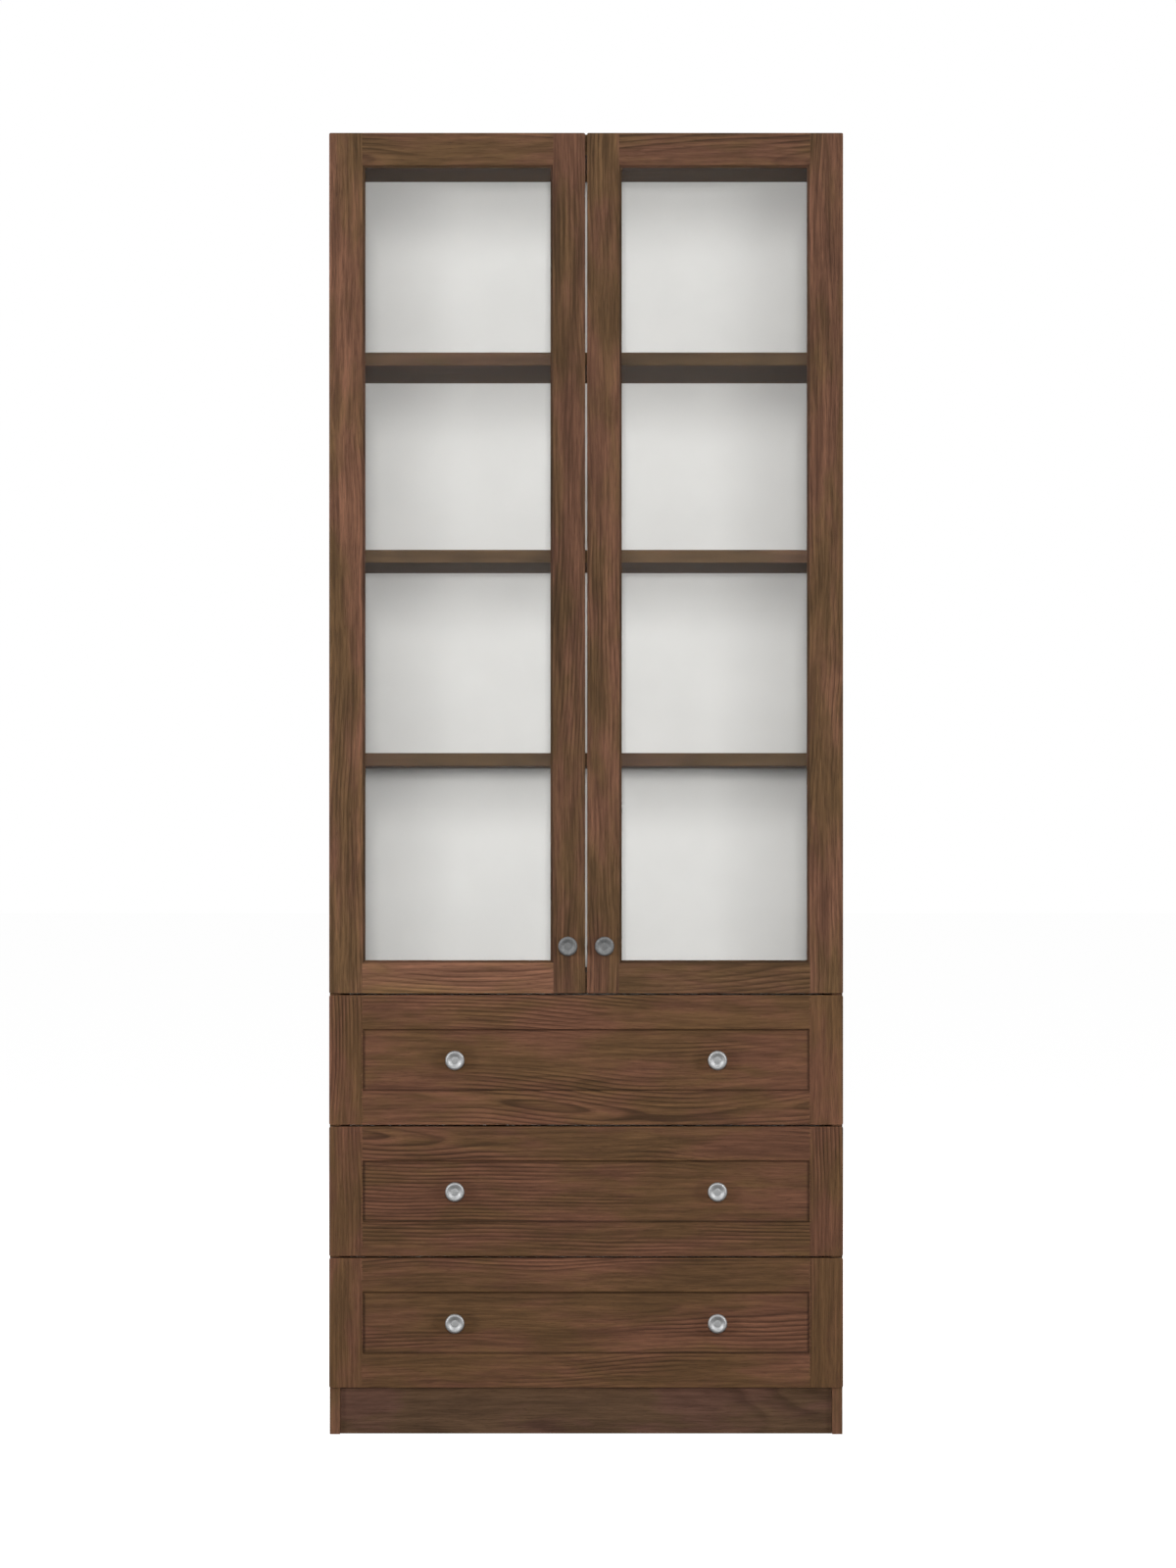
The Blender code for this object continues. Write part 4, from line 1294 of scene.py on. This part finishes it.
@dataclass
class Door:
    """A glazed door: stiles and rails with a moulded inner edge, a pane, a knob and its hinges."""

    side: Side
    hinge_stile_tone: float = 1.0
    lock_stile_tone: float = 1.0
    top_tone: float = 1.0
    bottom_tone: float = 1.0
    ease: float = 1 * MM
    corner_r: float = 2.5 * MM
    corner_zone: float = 10 * MM
    joint_gap: float = 0.15 * MM
    glass_setback: float = 9 * MM
    groove_w: float = 4.6 * MM
    groove_d: float = 9 * MM
    cup_r: float = 17.5 * MM
    cup_d: float = 11.5 * MM
    bore_clear: float = 5 * MM
    lip_r: float = 0.3 * MM
    back_edge_r: float = 0.5 * MM
    stile_pith: Point = (70 * MM, 40 * MM)
    rail_pith: Point = (25 * MM, 25 * MM)
    end_wear: float = 0.8
    moulding: Moulding = field(default_factory=Moulding)
    # The door knob gets the darker copy of the nickel: painted shade.
    knob: Knob = field(default_factory=lambda: Knob(SHADED_NICKEL))

    def __post_init__(self) -> None:
        """Reads the frame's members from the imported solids."""
        self.prefix = f"door_{self.side.word}"
        self.boxes = {
            member: box(f"{self.prefix}_{member}")
            for member in ("hinge_stile", "lock_stile", "top_rail", "bottom_rail", "glass", "knob")
        }
        low, high = self.boxes["hinge_stile"]
        self.front, self.back = low[1], high[1]
        self.low_z, self.high_z = low[2], high[2]

    def build(self) -> None:
        """Builds and dresses the door."""
        self._stile("hinge_stile", pith_way=-1, tone=self.hinge_stile_tone, seed=0.9)
        self._stile("lock_stile", pith_way=1, tone=self.lock_stile_tone, seed=1.3)
        self._rail("top_rail", way=1, tone=self.top_tone)
        self._rail("bottom_rail", way=-1, tone=self.bottom_tone)
        self._pane()
        self.knob.build(f"{self.prefix}_knob", self.back)
        for number in (1, 2, 3):
            Hinge(self.side, number).build()

    def _section(self, width: float) -> tuple[np.ndarray, np.ndarray]:
        """Section of a frame member: rounded outer edge, moulded inner edge, groove for the pane.

        Args:
            width: the member's width.

        Returns:
            Points of (distance in from the outer edge, depth), and the mark of each side between them: wear
            on the outer arris, painted shade on the cove.
        """
        depth = self.back - self.front
        lip, groove_floor = self.glass_setback, width - self.groove_d
        moulded = self.moulding.curve() + [width - self.moulding.width, 0]
        rest = [
            (width, lip), (groove_floor, lip), (groove_floor, lip + self.groove_w),
            (width, lip + self.groove_w), (width, depth), (0, depth),
        ]
        rest_radii = [self.lip_r, 0, 0, self.lip_r, self.back_edge_r, self.back_edge_r]
        outline = np.concatenate([[(0, 0)], moulded, rest])
        radii = np.concatenate([[self.ease], np.zeros(len(moulded)), rest_radii])
        marks = arris_marks(len(outline), [0])
        per_corner = ROUND_STEPS + 1
        # The cove's faces get painted shade, darker for the shadow in the recess.
        marks[self.moulding.steps * per_corner:len(moulded) * per_corner] = self.moulding.stain
        return rounded(outline, radii).reshape(-1, 2), marks

    def _member_x(self, member: str, inset: np.ndarray) -> np.ndarray:
        """The x of points at these distances in from a stile's outer edge.

        Args:
            member: which stile.
            inset: distances towards the pane.

        Returns:
            Their x.
        """
        low, high = self.boxes[member]
        towards_right = (self.side is Side.LEFT) == (member == "hinge_stile")
        return low[0] + inset if towards_right else high[0] - inset

    def _stile(self, member: str, pith_way: int, tone: float, seed: float) -> None:
        """Builds an upright: its section carried up, with the outer corners and the ends rounded.

        Near an end, points of the outer zone move in by the drop of the corner's circle, in proportion to how
        near the outer edge they lie, and faces move in by the drop of the easing's circle.

        Args:
            member: which stile.
            pith_way: 1 with the pith line on the side that the hinges are on, -1 on the other.
            tone: how light its walnut is.
            seed: which stretch of the pattern it shows.
        """
        node = f"{self.prefix}_{member}"
        low, high = self.boxes[member]
        section, marks = self._section(high[0] - low[0])
        depth = self.back - self.front
        stations = np.unique(np.concatenate([quarter(self.ease)[0], quarter(self.corner_r, steps=6)[0]]))
        outer_share = np.clip(1 - section[:, 0] / self.corner_zone, 0, 1)
        inset = section[:, 0] + drop_at(stations, self.corner_r)[:, None] * outer_share
        sunk = drop_at(stations, self.ease)[:, None] * (1 - 2 * section[:, 1] / depth)
        end = np.zeros((len(stations), len(section), 3))
        end[:, :, 0] = self._member_x(member, inset)
        end[:, :, 1] = self.front + section[:, 1] + sunk
        rings = mirrored(end)
        rings[:, :, 2] = from_both_ends(self.low_z, self.high_z, stations)[:, None]
        edge_marks = np.broadcast_to(marks, (len(rings) - 1, len(marks))).copy()
        for last in (slice(None, 2), slice(-2, None)):
            edge_marks[last] = np.maximum(edge_marks[last], self.end_wear)
        middle = (low[0] + high[0]) / 2
        aside, behind = self.stile_pith
        pith = (middle + pith_way * self.side.value * aside, self.front + behind)
        looks = walnut(node, Run.UPRIGHT, pith, seed + 7.7 * self.side.value, tone=tone, **STILE_SHADE)
        cutter = self._cup_bores() if member == "hinge_stile" else None
        place(Shells().skin(rings, edge_marks), f"{node}_veneered", node, [looks], cutter=cutter)

    def _cup_bores(self) -> Shells:
        """The bores for the hinge cups, from the back of the stile.

        Returns:
            Their space.
        """
        cutter = Shells()
        reach, floor, clear = self.cup_r + FIT_GAP, -self.cup_d - FIT_GAP, self.bore_clear
        profile = [(0, floor), (reach, floor), (reach, clear), (0, clear)]
        for number in (1, 2, 3):
            low, high = box(f"hinge_cup_{self.side.word}_{number}")
            centre = (low + high) / 2
            cutter.lathe(profile, (centre[0], self.back, centre[2]), 1)
        return cutter

    def _rail(self, member: str, way: int, tone: float) -> None:
        """Builds a cross member, coped: each point runs on until it meets the moulding of the stile.

        Args:
            member: which rail.
            way: 1 for the top rail, -1 for the bottom one.
            tone: how light its walnut is.
        """
        node = f"{self.prefix}_{member}"
        low, high = self.boxes[member]
        section, marks = self._section(high[2] - low[2])
        rings = np.zeros((2, len(section), 3))
        for ring, stile in zip(rings, ("hinge_stile", "lock_stile")):
            stile_low, stile_high = self.boxes[stile]
            width = stile_high[0] - stile_low[0]
            inset = width - self.moulding.width + self.moulding.reach(section[:, 1]) + self.joint_gap
            ring[:, 0] = self._member_x(stile, inset)
        rings[:, :, 1] = self.front + section[:, 1]
        rings[:, :, 2] = high[2] - section[:, 0] if way > 0 else low[2] + section[:, 0]
        behind, beyond = self.rail_pith
        pith = (self.front + behind, (low[2] + high[2]) / 2 - way * beyond)
        seed = 5.3 * way + 2.9 * self.side.value
        looks = walnut(node, Run.ACROSS, pith, seed, tone=tone, **RAIL_SHADE)
        place(Shells().skin(rings, marks), f"{node}_veneered", node, [looks])

    def _pane(self) -> None:
        """Builds the pane, with ground edges hidden in the frame."""
        low, high = self.boxes["glass"]
        node = f"{self.prefix}_glass"
        place(Shells().plate(low, high, 1, corner=1 * MM, ease=0.4 * MM), f"{node}_pane", node, [GLASS])


@dataclass
class Hinge:
    """A concealed hinge: a hollow cup with two wings in the door, and an arm on its plate on the case."""

    side: Side
    number: int
    cup_r: float = 17.5 * MM
    cup_d: float = 11.5 * MM
    cup_bend_r: float = 1.5 * MM
    wall: float = 0.9 * MM
    rim: float = 1.5 * MM
    lip: float = 0.5 * MM
    flange_t: float = 1.4 * MM
    wing_t: float = 0.9 * MM
    wing_w: float = 16 * MM
    wing_corner_r: float = 3 * MM
    wing_overlap: float = 0.4 * MM
    wing_screw_r: float = 3 * MM
    wing_screw_t: float = 0.45 * MM
    wing_screw_from_end: float = 5 * MM
    pin_r: float = 1.4 * MM
    pin_half_l: float = 8.5 * MM
    pin_d: float = 4.5 * MM
    pin_shares: Range = (-0.35, 0.25)
    arm_w: float = 13 * MM
    arm_rise: float = 11.5 * MM
    arm_foot: float = 2.5 * MM
    arm_tail: float = 6.6 * MM
    arm_body: float = 44 * MM
    arm_nose_l: float = 2 * MM
    arm_nose_at: tuple[float, ...] = (0.0, 0.6 * MM, 1.2 * MM)
    arm_fall_at: tuple[float, ...] = (47 * MM, 49.8 * MM, 52.6 * MM, 55.4 * MM, 58.2 * MM, 61 * MM)
    arm_end_r: float = 1.2 * MM
    arm_edge_r: float = 1.6 * MM
    arm_foot_r: float = 0.4 * MM
    arm_screws_at: Range = (22 * MM, 38 * MM)
    arm_screw_r: float = 3.2 * MM
    arm_screw_t: float = 0.4 * MM
    plate_t: float = 4 * MM
    plate_from_edge: float = 37 * MM
    plate_l: float = 13 * MM
    plate_corner_r: float = 4 * MM
    plate_screw_r: float = 3.6 * MM
    plate_screw_t: float = 1.2 * MM
    plate_screw_from_end: float = 7 * MM
    wing_ease: float = 0.3 * MM
    plate_ease: float = 0.6 * MM

    def build(self) -> None:
        """Builds both halves."""
        self.cup_node = f"hinge_cup_{self.side.word}_{self.number}"
        self.arm_node = f"hinge_arm_{self.side.word}_{self.number}"
        self._cup()
        self._arm()

    def _cup_profile(self) -> np.ndarray:
        """Half section of the cup: floor, bend, wall, the rim on the door's back, and the outside again.

        Returns:
            Points of (radius, height above the back of the door).
        """
        inner, outer = self.cup_r - self.wall, self.cup_r + self.rim
        flange = FIT_GAP + self.flange_t
        floor, bend = -self.cup_d + self.wall, self.cup_bend_r
        turn = np.linspace(0, np.pi / 2, ROUND_STEPS + 1)
        inside = pairs(inner - bend * (1 - np.sin(turn)), floor + bend * (1 - np.cos(turn)))
        outside = pairs(
            self.cup_r - bend * (1 - np.cos(turn)), -self.cup_d + bend * (1 - np.sin(turn)),
        )
        crown = [
            (inner, flange - self.lip), (inner + self.lip, flange), (outer - self.lip, flange),
            (outer, flange - self.lip), (outer, FIT_GAP), (self.cup_r, FIT_GAP),
        ]
        return np.concatenate([[(0, floor)], inside, crown, outside, [(0, -self.cup_d)]])

    def _cup(self) -> None:
        """Builds the cup turned from its section, its wings with their screws, and the pins across it."""
        low, high = box(self.cup_node)
        x, _, z = (low + high) / 2
        back = low[1] + self.cup_d
        seat = back + FIT_GAP
        shells = Shells().lathe(self._cup_profile(), (x, back, z), 1)
        half_w, reach = self.wing_w / 2, high[2] - z
        for way in (-1, 1):
            near, far = sorted((z + way * (self.cup_r - self.wing_overlap), z + way * reach))
            shells.plate(
                (x - half_w, seat, near), (x + half_w, seat + self.wing_t, far), 1,
                self.wing_corner_r, self.wing_ease,
            )
            screw_at = (x, seat + self.wing_t, z + way * (reach - self.wing_screw_from_end))
            shells.screw(screw_at, 1, 1, self.wing_screw_r, self.wing_screw_t, paint=1)
        half_l = self.pin_half_l
        pin = [(0, -half_l), (self.pin_r, -half_l), (self.pin_r, half_l), (0, half_l)]
        for share in self.pin_shares:
            at = (x + share * (self.cup_r - self.wall) * self.side.value, back - self.pin_d, z)
            shells.lathe(pin, at, 2, sides=16, paint=1)
        place(shells, f"{self.cup_node}_pressed", self.cup_node, [HINGE_STEEL, SCREW_STEEL])

    def _arm(self) -> None:
        """Builds the arm as a row of rounded sections, on its cross plate.

        Towards the tail, its height falls by the smooth step 3 s2 - 2 s3 of the share s of the way.
        """
        low, high = box(self.arm_node)
        centre_z = (low[2] + high[2]) / 2
        wall_x = max(abs(low[0]), abs(high[0])) + FIT_GAP
        front, length = low[1], high[1] - low[1]
        along = np.concatenate([
            self.arm_nose_at, np.linspace(self.arm_nose_l, self.arm_body, 6), self.arm_fall_at, [length],
        ])
        fall = np.clip((along - self.arm_body) / (length - self.arm_body), 0, 1)
        rise = self.arm_rise - (self.arm_rise - self.arm_tail) * fall**2 * (3 - 2 * fall)
        trims = drop_at(along, self.arm_end_r) + drop_at(length - along, self.arm_end_r)
        on_plate = along >= self.plate_from_edge - self.plate_l / 2
        foot = np.where(on_plate, self.plate_t + FIT_GAP, self.arm_foot)
        rings = np.zeros((len(along), 4 * (ROUND_STEPS + 1), 3))
        radii = (self.arm_foot_r, self.arm_edge_r, self.arm_edge_r, self.arm_foot_r)
        for ring, y, base, top, trim in zip(rings, along, foot, rise, trims):
            half = self.arm_w / 2 - trim / 2
            outline = rounded(rectangle((base, -half), (top - trim, half)), radii).reshape(-1, 2)
            ring[:, 0] = self.side.value * (wall_x - outline[:, 0])
            ring[:, 1] = front + y
            ring[:, 2] = centre_z + outline[:, 1]
        shells = Shells().skin(rings)
        plate_y, half_l = front + self.plate_from_edge, self.plate_l / 2
        near, far = sorted(self.side.value * (wall_x - height) for height in (FIT_GAP, self.plate_t))
        shells.plate(
            (near, plate_y - half_l, low[2]), (far, plate_y + half_l, high[2]), 0,
            self.plate_corner_r, self.plate_ease,
        )
        for z in (low[2] + self.plate_screw_from_end, high[2] - self.plate_screw_from_end):
            seat = (self.side.value * (wall_x - self.plate_t), plate_y, z)
            shells.screw(seat, 0, -self.side.value, self.plate_screw_r, self.plate_screw_t, paint=1)
        for y in self.arm_screws_at:
            seat = (self.side.value * (wall_x - self.arm_rise), front + y, centre_z)
            shells.screw(seat, 0, -self.side.value, self.arm_screw_r, self.arm_screw_t, paint=1)
        place(shells, f"{self.arm_node}_pressed", self.arm_node, [HINGE_STEEL, SCREW_STEEL])


@dataclass
class Drawer:
    """A drawer: a front with a sunk panel, a box on two plastic runners, and two knobs."""

    number: int
    heart: float = 0.0
    tone: float = 1.0
    frame_w: float = 51.5 * MM
    ease: float = 1 * MM
    corner_r: float = 2.5 * MM
    inner_r: float = 0.4 * MM
    pith_behind: float = 18 * MM
    box_t: float = 14 * MM
    box_ease: float = 1 * MM
    board_ease: float = 0.3 * MM
    board_gap: float = 0.1 * MM
    back_inset: float = 0.2 * MM
    soft_edge: float = 0.4 * MM
    groove_h: float = 17.8 * MM
    groove_d: float = 8.2 * MM
    bottom_groove_d: float = 6 * MM
    channel_h: float = 7.4 * MM
    channel_d: float = 2.2 * MM
    runner_screws_at: tuple[float, float, float] = (0.08, 0.5, 0.92)
    runner_screw_r: float = 3.2 * MM
    runner_screw_t: float = 1.4 * MM
    runner_end_r: float = 1.5 * MM
    runner_edge_r: float = 1.2 * MM
    runner_foot_r: float = 0.2 * MM
    channel_r: float = 0.4 * MM
    moulding: Moulding = field(default_factory=Moulding)
    knob: Knob = field(default_factory=Knob)

    def build(self) -> None:
        """Builds and dresses the drawer and its runners."""
        self.prefix = f"drawer_{self.number}"
        self._front()
        self._box()
        paint_node(f"{self.prefix}_bottom", birch(f"{self.prefix}_bottom", Run.ACROSS, 4.4 * self.number))
        back = box(f"{self.prefix}_front")[1][1]
        for side in Side:
            self.knob.build(f"{self.prefix}_knob_{side.word}", back)
            self._runner(side)

    def _front(self) -> None:
        """Builds the front of rounded rectangles, one inside the other: back, easing, moulding, panel."""
        node = f"{self.prefix}_front"
        low, high = box(node)
        depth = high[1] - low[1]
        levels = self._levels(depth)
        rings = np.zeros((len(levels), 4 * (ROUND_STEPS + 1), 3))
        upright = others(1)
        for ring, (inset, at) in zip(rings, levels):
            corners = rectangle(low[upright] + inset, high[upright] - inset)
            ring[:, upright] = rounded(corners, max(self.corner_r - inset, self.inner_r)).reshape(-1, 2)
            ring[:, 1] = low[1] + at
        marks = np.zeros((len(levels) - 1, 1))
        marks[ROUND_STEPS + 1:2 * ROUND_STEPS + 1] = 1
        # The cove's faces get painted shade, darker for the shadow in the recess.
        marks[-self.moulding.steps:] = self.moulding.stain
        pith = (low[1] + self.pith_behind, (low[2] + high[2]) / 2 + self.heart)
        looks = walnut(
            node, Run.ACROSS, pith, 8.9 * self.number, tone=self.tone,
            ends=(high[0] - low[0]) / 2 - self.frame_w, **DRAWER_SHADE,
        )
        place(Shells().skin(rings, marks), f"{node}_milled", node, [looks])

    def _levels(self, depth: float) -> np.ndarray:
        """The front's section from the back face round the edge and over the moulding to the panel.

        Args:
            depth: the front's thickness.

        Returns:
            Levels of (inset, depth behind the face).
        """
        back_in, back_drop = quarter(self.soft_edge)
        ease_in, ease_drop = quarter(self.ease)
        back = pairs(back_drop, depth - back_in)
        easing = pairs(ease_in, ease_drop)
        return np.concatenate([back[::-1], easing, self.moulding.curve() + [self.frame_w, 0]])

    def _box(self) -> None:
        """Builds two sides with their grooves, carried from front to back, and the back board between."""
        node = f"{self.prefix}_box"
        low, high = box(node)
        bottom_low, bottom_high = box(f"{self.prefix}_bottom")
        runner_low, runner_high = box(f"{self.prefix}_runner_left")
        middle = (runner_low[2] + runner_high[2]) / 2
        groove = (middle - self.groove_h / 2, middle + self.groove_h / 2)
        slot = (bottom_low[2] - FIT_GAP, bottom_high[2] + FIT_GAP)
        slot_in = self.box_t - self.bottom_groove_d
        outline = [
            (0, low[2]), (self.box_t, low[2]), (self.box_t, slot[0]), (slot_in, slot[0]), (slot_in, slot[1]),
            (self.box_t, slot[1]), (self.box_t, high[2]), (0, high[2]), (0, groove[1]),
            (self.groove_d, groove[1]), (self.groove_d, groove[0]), (0, groove[0]),
        ]
        radii = [self.soft_edge, self.soft_edge, 0, 0, 0, 0, self.box_ease, self.box_ease, 0, 0, 0, 0]
        section = rounded(outline, radii).reshape(-1, 2)
        shells = Shells()
        for side in Side:
            outer = low[0] if side is Side.LEFT else high[0]
            rings = np.zeros((2, len(section), 3))
            rings[:, :, 0] = outer - side.value * section[:, 0]
            rings[:, :, 1] = [[low[1]], [high[1]]]
            rings[:, :, 2] = section[:, 1]
            shells.skin(rings)
        back_low = np.array([low[0] + self.box_t + self.board_gap, high[1] - self.box_t, slot[1]])
        back_high = np.array([high[0] - self.box_t - self.board_gap, high[1] - self.back_inset, high[2]])
        ease = (self.board_ease, self.board_ease, self.box_ease, self.box_ease)
        bar(shells, back_low, back_high, 0, ease, paint=1)
        sides = birch(f"{node}_sides", Run.DEEP, 1.3 * self.number)
        back = birch(f"{node}_back", Run.ACROSS, 2.1 * self.number)
        place(shells, f"{node}_boards", node, [sides, back])

    def _runner(self, side: Side) -> None:
        """Builds a runner: a strip with a channel along its face, and three screws that sit in the channel.

        Args:
            side: which side.
        """
        node = f"{self.prefix}_runner_{side.word}"
        low, high = box(node)
        thick, tall = high[0] - low[0], high[2] - low[2]
        floor = thick - self.channel_d
        edges = ((tall - self.channel_h) / 2, (tall + self.channel_h) / 2)
        outline = [
            (0, 0), (thick, 0), (thick, edges[0]), (floor, edges[0]),
            (floor, edges[1]), (thick, edges[1]), (thick, tall), (0, tall),
        ]
        foot, edge, inner = self.runner_foot_r, self.runner_edge_r, self.channel_r
        radii = [foot, edge, inner, inner, inner, inner, edge, foot]
        section = rounded(outline, radii).reshape(-1, 2)
        wall = low[0] if side is Side.LEFT else high[0]
        ends, drop = quarter(self.runner_end_r)
        inset = mirrored(drop)[:, None]
        rings = np.zeros((len(inset), len(section), 3))
        rings[:, :, 0] = wall - side.value * np.minimum(section[:, 0], thick - inset)
        rings[:, :, 1] = from_both_ends(low[1], high[1], ends)[:, None]
        rings[:, :, 2] = low[2] + np.clip(section[:, 1], inset, tall - inset)
        shells = Shells().skin(rings)
        for share in self.runner_screws_at:
            y = low[1] + share * (high[1] - low[1])
            seat = (wall - side.value * floor, y, (low[2] + high[2]) / 2)
            shells.screw(seat, 0, -side.value, self.runner_screw_r, self.runner_screw_t, paint=1)
        place(shells, f"{node}_strip", node, [RUNNER_PLASTIC, SCREW_STEEL])


# Stage


@dataclass(frozen=True)
class Softbox:
    """An area lamp that faces the object, with its share of the light at the object.

    It stands at an azimuth in degrees from the front, and looks at the height of its aim. Its power is
    share x (pi x reach) squared, which at that reach gives the light of a world of that strength all round.
    """

    name: str
    azimuth: float
    distance: float
    height: float
    size: tuple[float, float]
    share: float
    in_gloss: bool = True
    in_diffuse: bool = True
    aim: float = 1.2

    def hang(self) -> None:
        """Builds the lamp."""
        above = self.height - self.aim
        light = bpy.data.lights.new(self.name, "AREA")
        light.shape = "RECTANGLE"
        light.size, light.size_y = self.size
        light.energy = self.share * (math.pi * math.hypot(self.distance, above))**2
        lamp = new_object(self.name, light)
        turn = math.radians(self.azimuth)
        lamp.location = (math.sin(turn) * self.distance, -math.cos(turn) * self.distance, self.height)
        lamp.rotation_euler = (math.pi / 2 - math.atan2(above, self.distance), 0, turn)
        lamp.visible_camera = False
        lamp.visible_glossy = self.in_gloss
        lamp.visible_diffuse = self.in_diffuse


@dataclass
class Studio:
    """A pale floor, a white world, softboxes, and the camera at the photo's place.

    Two front lamps and two side ones light the object and stay out of the gloss, where the panes would mirror
    them. The reflectors light the gloss alone.
    """

    distance: float = 8.8
    camera_z: float = 0.932
    lens: float = 129.8
    sensor: float = 36.0
    image_long: float = 1600.0
    centre_left_px: float = 1.9
    horizon_down_px: float = 54.0
    world_light: float = 0.13
    world_colour: Colour = (1.0, 0.995, 0.985)
    floor_reach: float = 60.0
    floor_glow: float = 0.942
    floor_shade: Colour = (0.35, 0.35, 0.35)
    floor_colour: Colour = (0.78, 0.78, 0.775)
    softboxes: tuple[Softbox, ...] = (
        Softbox("front_softbox", 0.0, 7.5, 1.3, (0.3, 0.5), 0.36, in_gloss=False),
        Softbox("high_softbox", 0.0, 24.0, 5.4, (1.8, 5.6), 0.30, in_gloss=False),
        Softbox("left_softbox", -42.0, 24.0, 1.35, (5.2, 1.2), 0.34, in_gloss=False),
        Softbox("right_softbox", 42.0, 24.0, 1.35, (5.2, 1.2), 0.34, in_gloss=False),
        Softbox("left_reflector", -42.0, 12.0, 5.0, (4.0, 4.0), 0.4, in_diffuse=False),
        Softbox("right_reflector", 42.0, 12.0, 5.0, (4.0, 4.0), 0.4, in_diffuse=False),
        Softbox("rear_left_softbox", -142.0, 6.0, 2.4, (2.0, 2.0), 0.45),
        Softbox("rear_right_softbox", 142.0, 6.0, 2.4, (2.0, 2.0), 0.45),
        Softbox("top_softbox", 180.0, 1.2, 5.2, (2.6, 2.6), 0.4),
    )

    def build(self) -> None:
        """Builds the stage."""
        self._world()
        self._floor()
        for softbox in self.softboxes:
            softbox.hang()
        self._camera()
        bpy.context.scene.view_settings.view_transform = "Standard"

    def _world(self) -> None:
        """White to the camera, to gloss and through glass, and a plain level of light to everything else."""
        world = bpy.data.worlds.new("studio_world")
        world.use_nodes = True
        bpy.context.scene.world = world
        nodes, links = world.node_tree.nodes, world.node_tree.links
        nodes.clear()
        path = nodes.new("ShaderNodeLightPath")
        seen = path.outputs["Is Camera Ray"]
        for ray in ("Is Glossy Ray", "Is Transmission Ray"):
            either = nodes.new("ShaderNodeMath")
            either.operation = "MAXIMUM"
            links.new(seen, either.inputs[0])
            links.new(path.outputs[ray], either.inputs[1])
            seen = either.outputs[0]
        mix, out = nodes.new("ShaderNodeMixShader"), nodes.new("ShaderNodeOutputWorld")
        links.new(seen, mix.inputs[0])
        backgrounds = ((*self.world_colour, 1), self.world_light), ((1, 1, 1, 1), 1.0)
        for number, (colour, strength) in enumerate(backgrounds, start=1):
            background = nodes.new("ShaderNodeBackground")
            background.inputs["Color"].default_value = colour
            background.inputs["Strength"].default_value = strength
            links.new(background.outputs[0], mix.inputs[number])
        links.new(mix.outputs[0], out.inputs["Surface"])

    def _floor(self) -> None:
        """Builds a floor that looks white to the camera but keeps the object's soft shadow.

        To the camera it is a glow of its own with a darker floor's light added.
        """
        reach = self.floor_reach
        mesh = bpy.data.meshes.new("floor")
        corners = [(x, y, 0) for x, y in rectangle((-reach, -reach), (reach, reach)).tolist()]
        mesh.from_pydata(corners, [], [[0, 1, 2, 3]])
        floor = new_object("floor", mesh)
        sketch = Sketch("pale_floor")
        sketch.tree.nodes.remove(sketch.shader)
        plain = sketch.node("BsdfDiffuse", {"Color": (*self.floor_colour, 1)})
        glow = sketch.node("Emission", {"Color": (1, 1, 1, 1), "Strength": self.floor_glow})
        shade = sketch.node("BsdfDiffuse", {"Color": (*self.floor_shade, 1)})
        seen = sketch.node("AddShader", {0: glow.outputs[0], 1: shade.outputs[0]})
        by_camera = sketch.node("LightPath").outputs["Is Camera Ray"]
        both = sketch.node("MixShader", {0: by_camera, 1: plain.outputs[0], 2: seen.outputs[0]})
        sketch.plug(sketch.output.inputs["Surface"], both.outputs[0])
        mesh.materials.append(sketch.material)

    def _camera(self) -> None:
        """Builds the camera, level and straight in front, with the small shift of the photo's framing."""
        data = bpy.data.cameras.new("camera")
        data.lens = self.lens
        data.sensor_width = self.sensor
        data.shift_x = self.centre_left_px / self.image_long
        data.shift_y = self.horizon_down_px / self.image_long
        data.clip_end = 4 * self.floor_reach
        camera = new_object("camera", data)
        front = box("drawer_1_front")[0][1]
        camera.location = (0, front - self.distance, self.camera_z)
        camera.rotation_euler = (math.pi / 2, 0, 0)
        bpy.context.scene.camera = camera


def main() -> None:
    """Builds the bookcase from the case outwards, then the stage."""
    logging.basicConfig(level=logging.INFO, format="%(name)s %(message)s")
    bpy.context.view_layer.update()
    Carcass().build()
    Door(Side.LEFT, hinge_stile_tone=1.03, lock_stile_tone=0.83, top_tone=0.94, bottom_tone=1.38).build()
    Door(Side.RIGHT, hinge_stile_tone=0.94, lock_stile_tone=0.93, top_tone=0.87, bottom_tone=0.87).build()
    Drawer(1, heart=-70 * MM, tone=0.95).build()
    Drawer(2, heart=80 * MM, tone=0.86).build()
    Drawer(3, heart=12 * MM, tone=0.88).build()
    Studio().build()
    bpy.context.view_layer.update()


if __name__ == "__main__":
    main()
